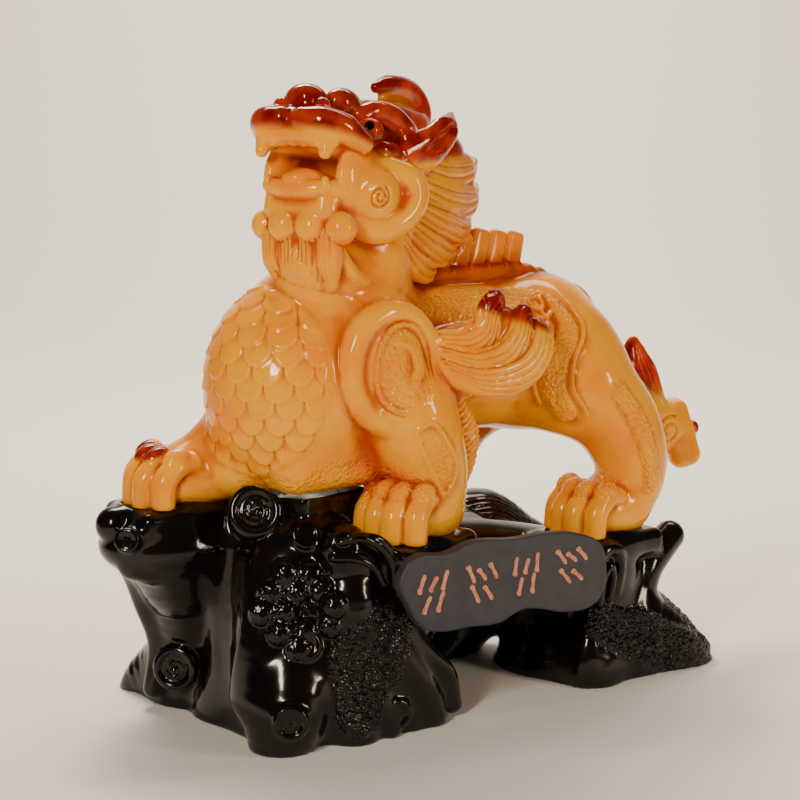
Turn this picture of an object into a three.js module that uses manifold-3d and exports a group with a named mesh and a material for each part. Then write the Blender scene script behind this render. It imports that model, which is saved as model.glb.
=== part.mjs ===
// A pixiu striding over a driftwood root, cast in imitation amber on a dark casting.
// +X runs from the head to the tail, -Y is the side of the name plate, +Z is up.
// The origin lies on the table, under the middle of the whole, and sizes are in millimetres.
// The carving is drawn round another point, below the figure's back, and moved at the end.
import * as THREE from 'three';
import Module from 'manifold-3d';
import { mergeVertices } from 'three/addons/utils/BufferGeometryUtils.js';
import { edgeTable, triTable } from 'three/addons/objects/MarchingCubes.js';

// Driving dimensions
const FIGURE_HEIGHT = 286;          // lowest sole to the top of the horn
const SEAT_HEIGHT = 94;             // table to the seat of the lowest paw
const ROOT_LENGTH = 384;            // stub at the left to the end of the right root
const SEAT_CLEARANCE = 0.3;         // gap between each sole and its seat
const SEAT_DEPTH = 16;              // thickness of the flat seat under a paw
const SEAT_MARGIN = 1.5;            // how far a seat reaches past its paw
const SEAT_ROOM = 9;                // open height round a paw, above its seat
const ROOT_CLEARANCE = 3;           // gap between the root and the rest of the figure
const PLATE_LENGTH = 155;           // name plate, along X
const PLATE_HEIGHT = 47;            // name plate at its left end
const PLATE_THICKNESS = 8;          // name plate, front to back
const PLATE_FRONT = -83;            // y of the name plate's face
const STROKE_RAISE = 0.8;           // how far the strokes stand out of the plate
const STROKE_WIDTH = 3;             // breadth of one stroke
const STROKE_BLOCK = 23;            // side of the square that one group of strokes fills
const GEM_DIAMETER = 10;            // red cabochon on the tail
const GEM_RISE = 4.5;               // height of its dome
const GEM_SEAT = 2;                 // depth of its socket
const GEM_CLEARANCE = 0.3;          // gap around it in the socket
const GEM_RIM = 3;                  // wall of the setting around it

// The drawing that the free forms are shares of
const DRAWN_FIGURE_HEIGHT = 286;
const DRAWN_SEAT = 94;
const DRAWN_ROOT_LENGTH = 384;
const FIGURE_SCALE = FIGURE_HEIGHT / DRAWN_FIGURE_HEIGHT;
const ROOT_SCALE = ROOT_LENGTH / DRAWN_ROOT_LENGTH;
const ROOT_RISE = SEAT_HEIGHT / DRAWN_SEAT;

// Fineness of the solids
const FIGURE_CELL = 3.1;
const ROOT_CELL = 3.6;
const FIGURE_TRIANGLES = 5810;
const ROOT_TRIANGLES = 2500;
const HEAD_CARE = 3;
const HEAD_FLOOR = 262;

const DEGREE = Math.PI / 180;

// Frames: a frame turns the sizes of one limb or head into places of the whole
const WORLD = new THREE.Matrix4();

function frameFrom(origin, forward, side, up) {
  return new THREE.Matrix4().makeBasis(forward, side, up).setPosition(origin);
}

// Forward, side and up of something that looks along a heading, lifted by a pitch
function lookingFrame(origin, heading, pitch) {
  const turn = heading * DEGREE;
  const lift = pitch * DEGREE;
  const forward = new THREE.Vector3(
    Math.cos(turn) * Math.cos(lift), Math.sin(turn) * Math.cos(lift), Math.sin(lift));
  const side = new THREE.Vector3(-Math.sin(turn), Math.cos(turn), 0);
  const up = new THREE.Vector3().crossVectors(forward, side);
  return frameFrom(new THREE.Vector3(...origin), forward, side, up);
}

function placed(frame, point) {
  return new THREE.Vector3(...point).applyMatrix4(frame);
}

// Forms: each one knows its middle, its reach and the distance to its skin
function egg(frame, middle, radii, turns = [0, 0, 0]) {
  const turn = new THREE.Matrix4().makeRotationFromEuler(
    new THREE.Euler(turns[0] * DEGREE, turns[1] * DEGREE, turns[2] * DEGREE));
  const place = frame.clone()
    .multiply(new THREE.Matrix4().makeTranslation(...middle))
    .multiply(turn);
  const m = place.clone().invert().elements;
  const [a, b, c] = radii;
  const least = Math.min(a, b, c);
  return {
    middle: new THREE.Vector3().setFromMatrixPosition(place),
    reach: Math.max(a, b, c),
    far(x, y, z) {
      const u = (m[0] * x + m[4] * y + m[8] * z + m[12]) / a;
      const v = (m[1] * x + m[5] * y + m[9] * z + m[13]) / b;
      const w = (m[2] * x + m[6] * y + m[10] * z + m[14]) / c;
      const near = Math.sqrt(u * u + v * v + w * w);
      const slope = Math.sqrt(u * u / (a * a) + v * v / (b * b) + w * w / (c * c));
      return slope < 1e-7 ? -least : near * (near - 1) / slope;
    },
  };
}

// A block with rounded edges
function block(frame, middle, halves, round, turns = [0, 0, 0]) {
  const turn = new THREE.Matrix4().makeRotationFromEuler(
    new THREE.Euler(turns[0] * DEGREE, turns[1] * DEGREE, turns[2] * DEGREE));
  const place = frame.clone()
    .multiply(new THREE.Matrix4().makeTranslation(...middle))
    .multiply(turn);
  const m = place.clone().invert().elements;
  const [a, b, c] = halves.map((half) => half - round);
  return {
    middle: new THREE.Vector3().setFromMatrixPosition(place),
    reach: Math.hypot(...halves),
    far(x, y, z) {
      const u = Math.abs(m[0] * x + m[4] * y + m[8] * z + m[12]) - a;
      const v = Math.abs(m[1] * x + m[5] * y + m[9] * z + m[13]) - b;
      const w = Math.abs(m[2] * x + m[6] * y + m[10] * z + m[14]) - c;
      const out = Math.hypot(Math.max(u, 0), Math.max(v, 0), Math.max(w, 0));
      return out + Math.min(Math.max(u, v, w), 0) - round;
    },
  };
}

// A limb through points, with a radius at each; flat gives a direction and the thickness along it,
// as a share of the radius: a mark on the skin has a share above 1 and so reaches deeper
function limb(frame, points, radii, flat = null, steps = 5) {
  const stops = points.map((point) => placed(frame, point));
  const curve = stops.length > 2 ? new THREE.CatmullRomCurve3(stops, false, 'centripetal') : null;
  const count = curve ? (stops.length - 1) * steps : 1;
  const path = [];
  for (let i = 0; i <= count; i += 1) {
    const share = i / count;
    const along = share * (stops.length - 1);
    const before = Math.min(Math.floor(along), stops.length - 2);
    const radius = THREE.MathUtils.lerp(radii[before], radii[before + 1], along - before);
    const point = curve ? curve.getPoint(share) : stops[i].clone();
    path.push({ point, radius });
  }
  const box = new THREE.Box3().setFromPoints(path.map((stop) => stop.point));
  const ball = box.getBoundingSphere(new THREE.Sphere());
  const swell = flat ? Math.max(1, flat.share) : 1;
  const squeeze = flat ? 1 / flat.share : 1;
  const across = flat
    ? new THREE.Vector3(...flat.along).transformDirection(frame)
    : new THREE.Vector3(0, 0, 1);
  const nx = across.x;
  const ny = across.y;
  const nz = across.z;
  const grow = squeeze - 1;
  const wide = (point) => point.clone().addScaledVector(across, point.dot(across) * grow);
  const parts = [];
  for (let i = 0; i < path.length - 1; i += 1) {
    const from = wide(path[i].point);
    const to = wide(path[i + 1].point);
    const way = to.clone().sub(from);
    parts.push([from.x, from.y, from.z, way.x, way.y, way.z, Math.max(way.lengthSq(), 1e-9),
      path[i].radius, path[i + 1].radius - path[i].radius]);
  }
  return {
    middle: ball.center,
    reach: ball.radius + Math.max(...radii) * swell,
    far(x, y, z) {
      const shift = (x * nx + y * ny + z * nz) * grow;
      const px = x + nx * shift;
      const py = y + ny * shift;
      const pz = z + nz * shift;
      let best = Infinity;
      for (const part of parts) {
        const ax = px - part[0];
        const ay = py - part[1];
        const az = pz - part[2];
        const raw = (ax * part[3] + ay * part[4] + az * part[5]) / part[6];
        const t = raw < 0 ? 0 : raw > 1 ? 1 : raw;
        const dx = ax - part[3] * t;
        const dy = ay - part[4] * t;
        const dz = az - part[5] * t;
        const length = Math.sqrt(dx * dx + dy * dy + dz * dz);
        let away = length - part[7] - part[8] * t;
        if (grow > 0 && length > 1e-6) {
          const lean = (dx * nx + dy * ny + dz * nz) / length;
          away /= Math.sqrt(1 + (squeeze * squeeze - 1) * lean * lean);
        }
        if (away < best) best = away;
      }
      return best;
    },
  };
}

// Points of a ring or of a spiral that winds inwards, in a plane through two directions
function winding(middle, first, second, from, to, turns, start = 0, count = 24) {
  const points = [];
  for (let i = 0; i <= count; i += 1) {
    const angle = (start + turns * 360 * i / count) * DEGREE;
    const radius = THREE.MathUtils.lerp(from, to, i / count);
    const u = Math.cos(angle) * radius;
    const v = Math.sin(angle) * radius;
    points.push(middle.map((value, axis) => value + first[axis] * u + second[axis] * v));
  }
  return points;
}

// Steps of the carving, in the order that they are done
const add = (form, soft) => ({ form, how: 'add', soft });
const cut = (form, soft) => ({ form, how: 'cut', soft });
const raise = (form, height, soft) => ({ form, how: 'raise', height, soft });

function smoothLess(a, b, soft) {
  const near = Math.max(soft - Math.abs(a - b), 0) / Math.max(soft, 1e-6);
  return Math.min(a, b) - near * near * soft / 4;
}

const NEAR_ENOUGH = 8;

// The carving's distance at a point, from the steps that can matter there
function carve(steps, x, y, z) {
  let far = 40;
  for (const step of steps) {
    const away = step.form.far(x, y, z);
    if (step.how === 'add') {
      far = smoothLess(far, away, step.soft);
    } else if (step.how === 'cut') {
      far = -smoothLess(-far, away, step.soft);
    } else if (away < 0) {
      const share = Math.min(-away / step.soft, 1);
      far -= step.height * share * share * (3 - 2 * share);
    }
  }
  return far;
}

// Only the steps whose form reaches into a block of space
function stepsNear(steps, x, y, z, reach) {
  return steps.filter((step) => {
    const { middle } = step.form;
    const gap = Math.hypot(middle.x - x, middle.y - y, middle.z - z) - step.form.reach - reach;
    return gap < (step.how === 'raise' ? 0 : step.soft + NEAR_ENOUGH);
  });
}

// Skin of a carving: sampled on a grid, then closed with marching cubes
const BLOCK = 8;
const CORNERS = [
  [0, 0, 0], [1, 0, 0], [1, 1, 0], [0, 1, 0],
  [0, 0, 1], [1, 0, 1], [1, 1, 1], [0, 1, 1],
];
const EDGES = [
  [0, 1], [1, 2], [3, 2], [0, 3], [4, 5], [5, 6], [7, 6], [4, 7], [0, 4], [1, 5], [2, 6], [3, 7],
];

function skin(steps, cell) {
  const box = new THREE.Box3();
  for (const step of steps) {
    if (step.how === 'add') {
      box.union(new THREE.Box3().setFromCenterAndSize(
        step.form.middle, new THREE.Vector3().setScalar(2 * step.form.reach + 4 * cell)));
    }
  }
  const size = box.getSize(new THREE.Vector3());
  const counts = [size.x, size.y, size.z].map((length) => Math.ceil(length / cell / BLOCK) * BLOCK + 1);
  const [nx, ny, nz] = counts;
  const values = new Float32Array(nx * ny * nz).fill(9);
  const { min } = box;
  const half = BLOCK * cell / 2;
  const ballOfBlock = half * Math.sqrt(3);
  for (let bz = 0; bz < nz - 1; bz += BLOCK) {
    for (let by = 0; by < ny - 1; by += BLOCK) {
      for (let bx = 0; bx < nx - 1; bx += BLOCK) {
        const near = stepsNear(steps, min.x + bx * cell + half, min.y + by * cell + half,
          min.z + bz * cell + half, ballOfBlock);
        if (!near.some((step) => step.how === 'add')) continue;
        for (let k = bz; k <= bz + BLOCK; k += 1) {
          for (let j = by; j <= by + BLOCK; j += 1) {
            for (let i = bx; i <= bx + BLOCK; i += 1) {
              values[i + nx * (j + ny * k)] =
                carve(near, min.x + i * cell, min.y + j * cell, min.z + k * cell);
            }
          }
        }
      }
    }
  }
  const positions = [];
  const faces = [];
  const corner = CORNERS.map(([i, j, k]) => i + nx * (j + ny * k));
  const axisOfEdge = EDGES.map(([a, b]) => [0, 1, 2].find((axis) => CORNERS[a][axis] !== CORNERS[b][axis]));
  const made = new Map();
  const vertexOn = (node, i, j, k, edge) => {
    const [a, b] = EDGES[edge];
    const key = (node + corner[a]) * 3 + axisOfEdge[edge];
    if (made.has(key)) return made.get(key);
    const va = values[node + corner[a]];
    const vb = values[node + corner[b]];
    const share = Math.min(Math.max(va / (va - vb), 0.02), 0.98);
    const place = [i, j, k].map((step, axis) =>
      step + CORNERS[a][axis] + (CORNERS[b][axis] - CORNERS[a][axis]) * share);
    const index = positions.length / 3;
    positions.push(min.x + place[0] * cell, min.y + place[1] * cell, min.z + place[2] * cell);
    made.set(key, index);
    return index;
  };
  for (let k = 0; k < nz - 1; k += 1) {
    for (let j = 0; j < ny - 1; j += 1) {
      for (let i = 0; i < nx - 1; i += 1) {
        const node = i + nx * (j + ny * k);
        let pattern = 0;
        for (let c = 0; c < 8; c += 1) {
          if (values[node + corner[c]] < 0) pattern |= 1 << c;
        }
        if (edgeTable[pattern] === 0) continue;
        for (let t = pattern * 16; triTable[t] !== -1; t += 3) {
          faces.push(
            vertexOn(node, i, j, k, triTable[t]),
            vertexOn(node, i, j, k, triTable[t + 1]),
            vertexOn(node, i, j, k, triTable[t + 2]));
        }
      }
    }
  }
  return outwardMesh(largestPiece({ positions, faces }));
}

// Loose crumbs are dropped: the piece with the most corners stays
function largestPiece({ positions, faces }) {
  const parent = Array.from({ length: positions.length / 3 }, (unused, index) => index);
  const rootOf = (index) => {
    let root = index;
    while (parent[root] !== root) root = parent[root];
    while (parent[index] !== root) [parent[index], index] = [root, parent[index]];
    return root;
  };
  for (let t = 0; t < faces.length; t += 3) {
    parent[rootOf(faces[t])] = rootOf(faces[t + 1]);
    parent[rootOf(faces[t + 1])] = rootOf(faces[t + 2]);
  }
  const sizes = new Map();
  for (let v = 0; v < parent.length; v += 1) sizes.set(rootOf(v), (sizes.get(rootOf(v)) ?? 0) + 1);
  const [largest] = [...sizes].sort((a, b) => b[1] - a[1])[0];
  const kept = [];
  for (let t = 0; t < faces.length; t += 3) {
    if (rootOf(faces[t]) === largest) kept.push(faces[t], faces[t + 1], faces[t + 2]);
  }
  return { positions, faces: kept };
}

function outwardMesh({ positions, faces }) {
  let volume = 0;
  for (let t = 0; t < faces.length; t += 3) {
    const [a, b, c] = [faces[t] * 3, faces[t + 1] * 3, faces[t + 2] * 3];
    volume += positions[a] * (positions[b + 1] * positions[c + 2] - positions[b + 2] * positions[c + 1])
      + positions[a + 1] * (positions[b + 2] * positions[c] - positions[b] * positions[c + 2])
      + positions[a + 2] * (positions[b] * positions[c + 1] - positions[b + 1] * positions[c]);
  }
  if (volume < 0) {
    for (let t = 0; t < faces.length; t += 3) [faces[t], faces[t + 1]] = [faces[t + 1], faces[t]];
  }
  return { positions, faces };
}

// Edges are folded away, the least missed first, until a number of triangles is left;
// care says how much more the skin counts at a place
function thinned({ positions, faces }, goal, care = () => 1) {
  const count = positions.length / 3;
  const p = Float64Array.from(positions);
  const tri = Int32Array.from(faces);
  const faceCount = tri.length / 3;
  const live = new Uint8Array(faceCount).fill(1);
  const around = Array.from({ length: count }, () => []);
  for (let t = 0; t < faceCount; t += 1) {
    for (let c = 0; c < 3; c += 1) around[tri[t * 3 + c]].push(t);
  }
  const q = new Float64Array(count * 10);
  const normalOf = (a, b, c) => {
    const ux = p[b * 3] - p[a * 3];
    const uy = p[b * 3 + 1] - p[a * 3 + 1];
    const uz = p[b * 3 + 2] - p[a * 3 + 2];
    const vx = p[c * 3] - p[a * 3];
    const vy = p[c * 3 + 1] - p[a * 3 + 1];
    const vz = p[c * 3 + 2] - p[a * 3 + 2];
    return [uy * vz - uz * vy, uz * vx - ux * vz, ux * vy - uy * vx];
  };
  for (let t = 0; t < faceCount; t += 1) {
    const n = normalOf(tri[t * 3], tri[t * 3 + 1], tri[t * 3 + 2]);
    const length = Math.hypot(...n);
    if (length < 1e-12) continue;
    const [a, b, c] = n.map((value) => value / length);
    const v = tri[t * 3] * 3;
    const d = -(a * p[v] + b * p[v + 1] + c * p[v + 2]);
    const terms = [a * a, a * b, a * c, a * d, b * b, b * c, b * d, c * c, c * d, d * d];
    const weight = length * 0.5 * care(p[v], p[v + 1], p[v + 2]);
    for (let s = 0; s < 3; s += 1) {
      const at = tri[t * 3 + s] * 10;
      for (let i = 0; i < 10; i += 1) q[at + i] += terms[i] * weight;
    }
  }
  const version = new Int32Array(count);
  const gone = new Uint8Array(count);
  const heap = [];
  const less = (a, b) => heap[a].cost < heap[b].cost;
  const swap = (a, b) => { [heap[a], heap[b]] = [heap[b], heap[a]]; };
  const push = (item) => {
    heap.push(item);
    let at = heap.length - 1;
    while (at > 0 && less(at, (at - 1) >> 1)) {
      swap(at, (at - 1) >> 1);
      at = (at - 1) >> 1;
    }
  };
  const pop = () => {
    const top = heap[0];
    const last = heap.pop();
    if (heap.length) {
      heap[0] = last;
      let at = 0;
      for (;;) {
        const left = at * 2 + 1;
        if (left >= heap.length) break;
        const best = left + 1 < heap.length && less(left + 1, left) ? left + 1 : left;
        if (!less(best, at)) break;
        swap(best, at);
        at = best;
      }
    }
    return top;
  };
  const sum = new Float64Array(10);
  const errorAt = (x, y, z) => sum[0] * x * x + 2 * sum[1] * x * y + 2 * sum[2] * x * z + 2 * sum[3] * x
    + sum[4] * y * y + 2 * sum[5] * y * z + 2 * sum[6] * y + sum[7] * z * z + 2 * sum[8] * z + sum[9];
  const weigh = (a, b) => {
    for (let i = 0; i < 10; i += 1) sum[i] = q[a * 10 + i] + q[b * 10 + i];
    const [xx, xy, xz, xd, yy, yz, yd, zz, zd] = sum;
    const det = xx * (yy * zz - yz * yz) - xy * (xy * zz - yz * xz) + xz * (xy * yz - yy * xz);
    const mx = (p[a * 3] + p[b * 3]) / 2;
    const my = (p[a * 3 + 1] + p[b * 3 + 1]) / 2;
    const mz = (p[a * 3 + 2] + p[b * 3 + 2]) / 2;
    const long = Math.hypot(p[a * 3] - p[b * 3], p[a * 3 + 1] - p[b * 3 + 1], p[a * 3 + 2] - p[b * 3 + 2]);
    let best = [mx, my, mz];
    if (Math.abs(det) > 1e-6) {
      const x = (-xd * (yy * zz - yz * yz) + xy * (yd * zz - yz * zd) - xz * (yd * yz - yy * zd)) / det;
      const y = (-xx * (yd * zz - yz * zd) + xd * (xy * zz - yz * xz) - xz * (xy * zd - yd * xz)) / det;
      const z = (-xx * (yy * zd - yd * yz) + xy * (xy * zd - yd * xz) - xd * (xy * yz - yy * xz)) / det;
      if (Math.hypot(x - mx, y - my, z - mz) < long) best = [x, y, z];
    }
    const cost = errorAt(...best) + 1e-4 * long * long;
    push({ cost, a, b, at: best, spare: true, stamp: version[a] + version[b] });
  };
  const neighbours = (v) => {
    const found = new Set();
    for (const t of around[v]) {
      for (let c = 0; c < 3; c += 1) found.add(tri[t * 3 + c]);
    }
    found.delete(v);
    return found;
  };
  for (let v = 0; v < count; v += 1) {
    for (const other of neighbours(v)) if (v < other) weigh(v, other);
  }
  const longestSide = (corners) => Math.max(...corners.map((c, i) => {
    const d = corners[(i + 1) % 3];
    return Math.hypot(p[c * 3] - p[d * 3], p[c * 3 + 1] - p[d * 3 + 1], p[c * 3 + 2] - p[d * 3 + 2]);
  }));
  const flips = (v, other, at) => {
    for (const t of around[v]) {
      const corners = [tri[t * 3], tri[t * 3 + 1], tri[t * 3 + 2]];
      if (corners.includes(other)) continue;
      const before = normalOf(...corners);
      const areaBefore = Math.hypot(...before);
      const fullBefore = areaBefore / longestSide(corners) ** 2;
      const old = [p[v * 3], p[v * 3 + 1], p[v * 3 + 2]];
      [p[v * 3], p[v * 3 + 1], p[v * 3 + 2]] = at;
      const after = normalOf(...corners);
      const areaAfter = Math.hypot(...after);
      const fullAfter = areaAfter / longestSide(corners) ** 2;
      [p[v * 3], p[v * 3 + 1], p[v * 3 + 2]] = old;
      const dot = before[0] * after[0] + before[1] * after[1] + before[2] * after[2];
      if (fullBefore > 0.02 && dot < 0.2 * areaBefore * areaAfter) return true;
      if (fullAfter < 0.03 && fullAfter < fullBefore * 0.6) return true;
    }
    return false;
  };
  // Where the best place would fold the skin over, an end or the middle may still do
  const offerSpare = (a, b, stamp) => {
    for (let i = 0; i < 10; i += 1) sum[i] = q[a * 10 + i] + q[b * 10 + i];
    const placeOf = (v) => [p[v * 3], p[v * 3 + 1], p[v * 3 + 2]];
    const middle = placeOf(a).map((value, axis) => (value + p[b * 3 + axis]) / 2);
    const others = [middle, placeOf(a), placeOf(b)]
      .map((at) => ({ at, cost: errorAt(...at) }))
      .sort((one, other) => one.cost - other.cost);
    const good = others.find(({ at }) => !flips(a, b, at) && !flips(b, a, at));
    if (good) push({ cost: good.cost, a, b, at: good.at, spare: false, stamp });
  };
  let left = faceCount;
  while (left > goal && heap.length) {
    const { a, b, at, spare, stamp } = pop();
    if (gone[a] || gone[b] || stamp !== version[a] + version[b]) continue;
    const nearA = neighbours(a);
    const nearB = neighbours(b);
    if (!nearA.has(b)) continue;
    let shared = 0;
    for (const v of nearA) if (nearB.has(v)) shared += 1;
    if (shared !== 2 || nearA.size + nearB.size > 22) continue;
    if (flips(a, b, at) || flips(b, a, at)) {
      if (spare) offerSpare(a, b, stamp);
      continue;
    }
    [p[a * 3], p[a * 3 + 1], p[a * 3 + 2]] = at;
    for (let i = 0; i < 10; i += 1) q[a * 10 + i] += q[b * 10 + i];
    const kept = [];
    for (const t of around[b]) {
      const corners = [tri[t * 3], tri[t * 3 + 1], tri[t * 3 + 2]];
      if (corners.includes(a)) {
        live[t] = 0;
        left -= 1;
        for (const v of corners) if (v !== b) around[v] = around[v].filter((other) => other !== t);
      } else {
        for (let c = 0; c < 3; c += 1) if (tri[t * 3 + c] === b) tri[t * 3 + c] = a;
        kept.push(t);
      }
    }
    around[a] = around[a].concat(kept);
    gone[b] = 1;
    version[a] += 1;
    for (const v of neighbours(a)) weigh(Math.min(a, v), Math.max(a, v));
  }
  const number = new Int32Array(count).fill(-1);
  const outPositions = [];
  const outFaces = [];
  for (let t = 0; t < faceCount; t += 1) {
    if (!live[t]) continue;
    for (let c = 0; c < 3; c += 1) {
      const v = tri[t * 3 + c];
      if (number[v] < 0) {
        number[v] = outPositions.length / 3;
        outPositions.push(p[v * 3], p[v * 3 + 1], p[v * 3 + 2]);
      }
      outFaces.push(number[v]);
    }
  }
  return { positions: outPositions, faces: outFaces };
}

// Places of the figure, as drawn, with heights from the table
const HEAD = lookingFrame([-30, 0, 318], 205, 12);
const PAWS = {
  frontFar: { ankle: [-120, 43, 132], heading: 181 },
  frontNear: { ankle: [-13, -39, 113], heading: 200 },
  hindNear: { ankle: [138, -38, DRAWN_SEAT], heading: 184 },
  hindFar: { ankle: [50, 42, 100], heading: 180 },
};
const DEEP = { along: [0, 1, 0], share: 5 };
const TOES = 4;
const TOE_PITCH = 11.6;
const PAW_REACH = 46;
const PAW_HALF_WIDTH = 25.5;
const PAW_BACK = 24;
const PAW_ROUNDNESS = 0.5;
const EYE_BALL = [34, 25, 24];

const bothSides = (make) => [1, -1].flatMap((side) => make(side));

// Chest like a ball, shoulders, back, rump and neck
function bodySteps() {
  return [
    add(egg(WORLD, [-78, 0, 202], [50, 50, 60]), 1),
    add(egg(WORLD, [-38, 0, 214], [48, 45, 44]), 18),
    add(limb(WORLD, [[-30, 0, 210], [30, 0, 209], [88, 0, 206]], [44, 46, 46],
      { along: [0, 1, 0], share: 0.88 }), 18),
    add(egg(WORLD, [106, 0, 208], [47, 42, 48]), 18),
    add(limb(WORLD, [[-52, 0, 240], [-36, -1, 266], [-28, -2, 300]], [42, 36, 33]), 14),
    add(block(WORLD, [-57, 0, 171], [46, 38, 29], 14), 9),
    add(egg(WORLD, [-94, 16, 152], [26, 24, 19]), 8),
    add(egg(HEAD, [30, 0, -52], [30, 24, 26]), 14),
  ];
}

// Front legs with an oval shoulder, and hind legs with a full haunch
function legSteps() {
  return [
    add(egg(WORLD, [-41, -31, 215], [35, 30, 42]), 8),
    add(egg(WORLD, [-52, 32, 213], [35, 28, 42]), 10),
    add(limb(WORLD, [[-24, -39, 190], [-17, -45, 168], [-9, -46, 148], [-9, -43, 130]],
      [30, 26, 21, 21]), 10),
    add(limb(WORLD, [[-76, 30, 182], [-94, 37, 164], [-112, 42, 151], [-122, 43, 146]],
      [28, 25, 21, 19]), 14),
    add(egg(WORLD, [112, -28, 196], [40, 26, 40]), 12),
    add(limb(WORLD, [[122, -32, 186], [141, -40, 162], [150, -43, 141], [152, -42, 124], [147, -40, 112]],
      [31, 27, 24, 21.5, 20]), 10),
    add(egg(WORLD, [99, 26, 197], [39, 26, 38]), 12),
    add(limb(WORLD, [[90, 30, 182], [74, 37, 158], [60, 41, 132], [51, 42, 114]],
      [28, 20, 18, 18]), 10),
  ];
}

// Four tall toes fan round the front of each paw, with nails on their tops
function pawSteps({ ankle, heading }) {
  const frame = lookingFrame(ankle, heading, 0);
  const steps = [add(egg(frame, [4, 0, 12], [30, 23, 21]), 8)];
  for (let toe = 0; toe < TOES; toe += 1) {
    const across = (toe - (TOES - 1) / 2) * TOE_PITCH;
    const inward = Math.abs(across) / TOE_PITCH;
    const front = PAW_REACH - 8 - 3.2 * inward * inward;
    steps.push(add(limb(frame, [
      [front - 27, across * 0.75, 21],
      [front - 13, across * 0.92, 24],
      [front - 2, across, 16],
      [front, across * 1.04, 3],
    ], [8, 8, 8.2, 7.8]), 2.0));
    steps.push(add(egg(frame, [front - 11, across * 0.95, 28], [7.5, 5.6, 5], [0, 14, 0]), 1.6));
  }
  return steps;
}

// Comb-like fringe down the back of the near front leg
const FRINGE = { lines: 7, pitch: 8.6, width: 2.4, depth: 1.4 };

function fringeSteps() {
  const steps = [add(limb(WORLD, [[4, -50, 189], [11, -52, 172], [11, -50, 154], [7, -47, 134]],
    [6, 9.5, 9, 5], { along: [0, 1, 0], share: 0.45 }), 1.5)];
  for (let line = 0; line < FRINGE.lines; line += 1) {
    const z = 188 - line * FRINGE.pitch;
    steps.push(raise(limb(WORLD, [[3, -56, z - 7], [23, -54, z + 6]], [FRINGE.width, FRINGE.width], DEEP),
      -FRINGE.depth, FRINGE.width));
  }
  return steps;
}

// Rolled rim round the shoulder, the panel on the leg and the curls of the haunch
const SHOULDER = { middle: [-41, -50, 215], across: [27, 0, -3], up: [2, 0, 32], roll: 7.5 };

function reliefSteps() {
  const rim = winding(SHOULDER.middle, SHOULDER.across, SHOULDER.up, 1, 1, 1);
  const haunchCurl = winding([82, -36, 243], [1, 0, 0], [0, 0, 1], 9, 3, 1.2, 250);
  const reach = { along: [0, 1, 0], share: 3 };
  return [
    add(limb(WORLD, rim, rim.map(() => SHOULDER.roll), null, 1), 3),
    add(egg(WORLD, [-39, -46, 215], [23, 14, 30]), 2),
    raise(limb(WORLD, [[-40, -58, 230], [-32, -58, 226], [-29, -58, 216], [-33, -58, 207], [-30, -58, 199]],
      [2.5, 5, 5.5, 4, 2.5], reach), 1.6, 3),
    raise(limb(WORLD, [[-31, -66, 186], [-20, -72, 184], [-9, -70, 172], [-3, -66, 156], [-6, -63, 140]],
      [3, 3, 3, 3, 2.5], DEEP), 1.6, 3),
    raise(limb(WORLD, haunchCurl, haunchCurl.map(() => 2.6), DEEP, 1), 1.6, 2.6),
    raise(limb(WORLD, [[92, -33, 241], [95, -45, 226], [84, -47, 208], [82, -46, 192], [93, -52, 172]],
      [5, 7.5, 8, 8, 6], reach), 2.4, 3),
    raise(limb(WORLD, [[122, -66, 187], [134, -68, 170], [144, -67, 148], [151, -64, 124]],
      [7, 7.5, 7, 6], reach), 2, 3),
  ];
}

// Wings: a shell of three broad feathers that sweep back and curl up at their ends
const FEATHERS = [
  { points: [[-8, 54, 227], [7, 60, 226], [16, 64, 233], [19, 64, 245], [26, 60, 250], [33, 56, 247]],
    radii: [8, 9, 9, 9, 7, 4] },
  { points: [[-8, 55, 220], [10, 64, 214], [27, 67, 217], [38, 67, 227], [44, 63, 239], [49, 58, 241]],
    radii: [8, 10, 10, 9, 8, 5] },
  { points: [[-8, 56, 213], [8, 66, 206], [28, 69, 205], [46, 69, 211], [55, 67, 223], [57, 61, 232]],
    radii: [8, 10, 11, 11, 10, 6] },
];
const FEATHER_FLAT = 0.5;
const FEATHER_GROOVES = [-0.4, 0.3];

function wingSteps(side) {
  const across = { along: [0, 1, 0], share: FEATHER_FLAT };
  const steps = [
    add(egg(WORLD, [20, side * 46, 214], [36, 17, 22]), 8),
    add(egg(WORLD, [30, side * 59, 222], [30, 8, 24]), 2),
  ];
  for (const { points, radii } of FEATHERS) {
    const line = points.map(([x, y, z]) => [x, side * y, z]);
    steps.push(add(limb(WORLD, line, radii, across), 1.5));
    for (const share of FEATHER_GROOVES) {
      const groove = line.map(([x, y, z], i) =>
        [x + share * radii[i] * 0.7, y + side * 4, z - share * radii[i]]);
      steps.push(raise(limb(WORLD, groove, radii.map(() => 2.2), DEEP), -1.2, 2.2));
    }
  }
  return steps;
}

// Back fin: a ridge with a row of rounded plates, then scutes down the rump
const FIN = { count: 8, start: -14, pitch: 13.6, foot: 253, rise: 27, fall: 1.5, tallest: 5, half: 3.4 };

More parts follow.
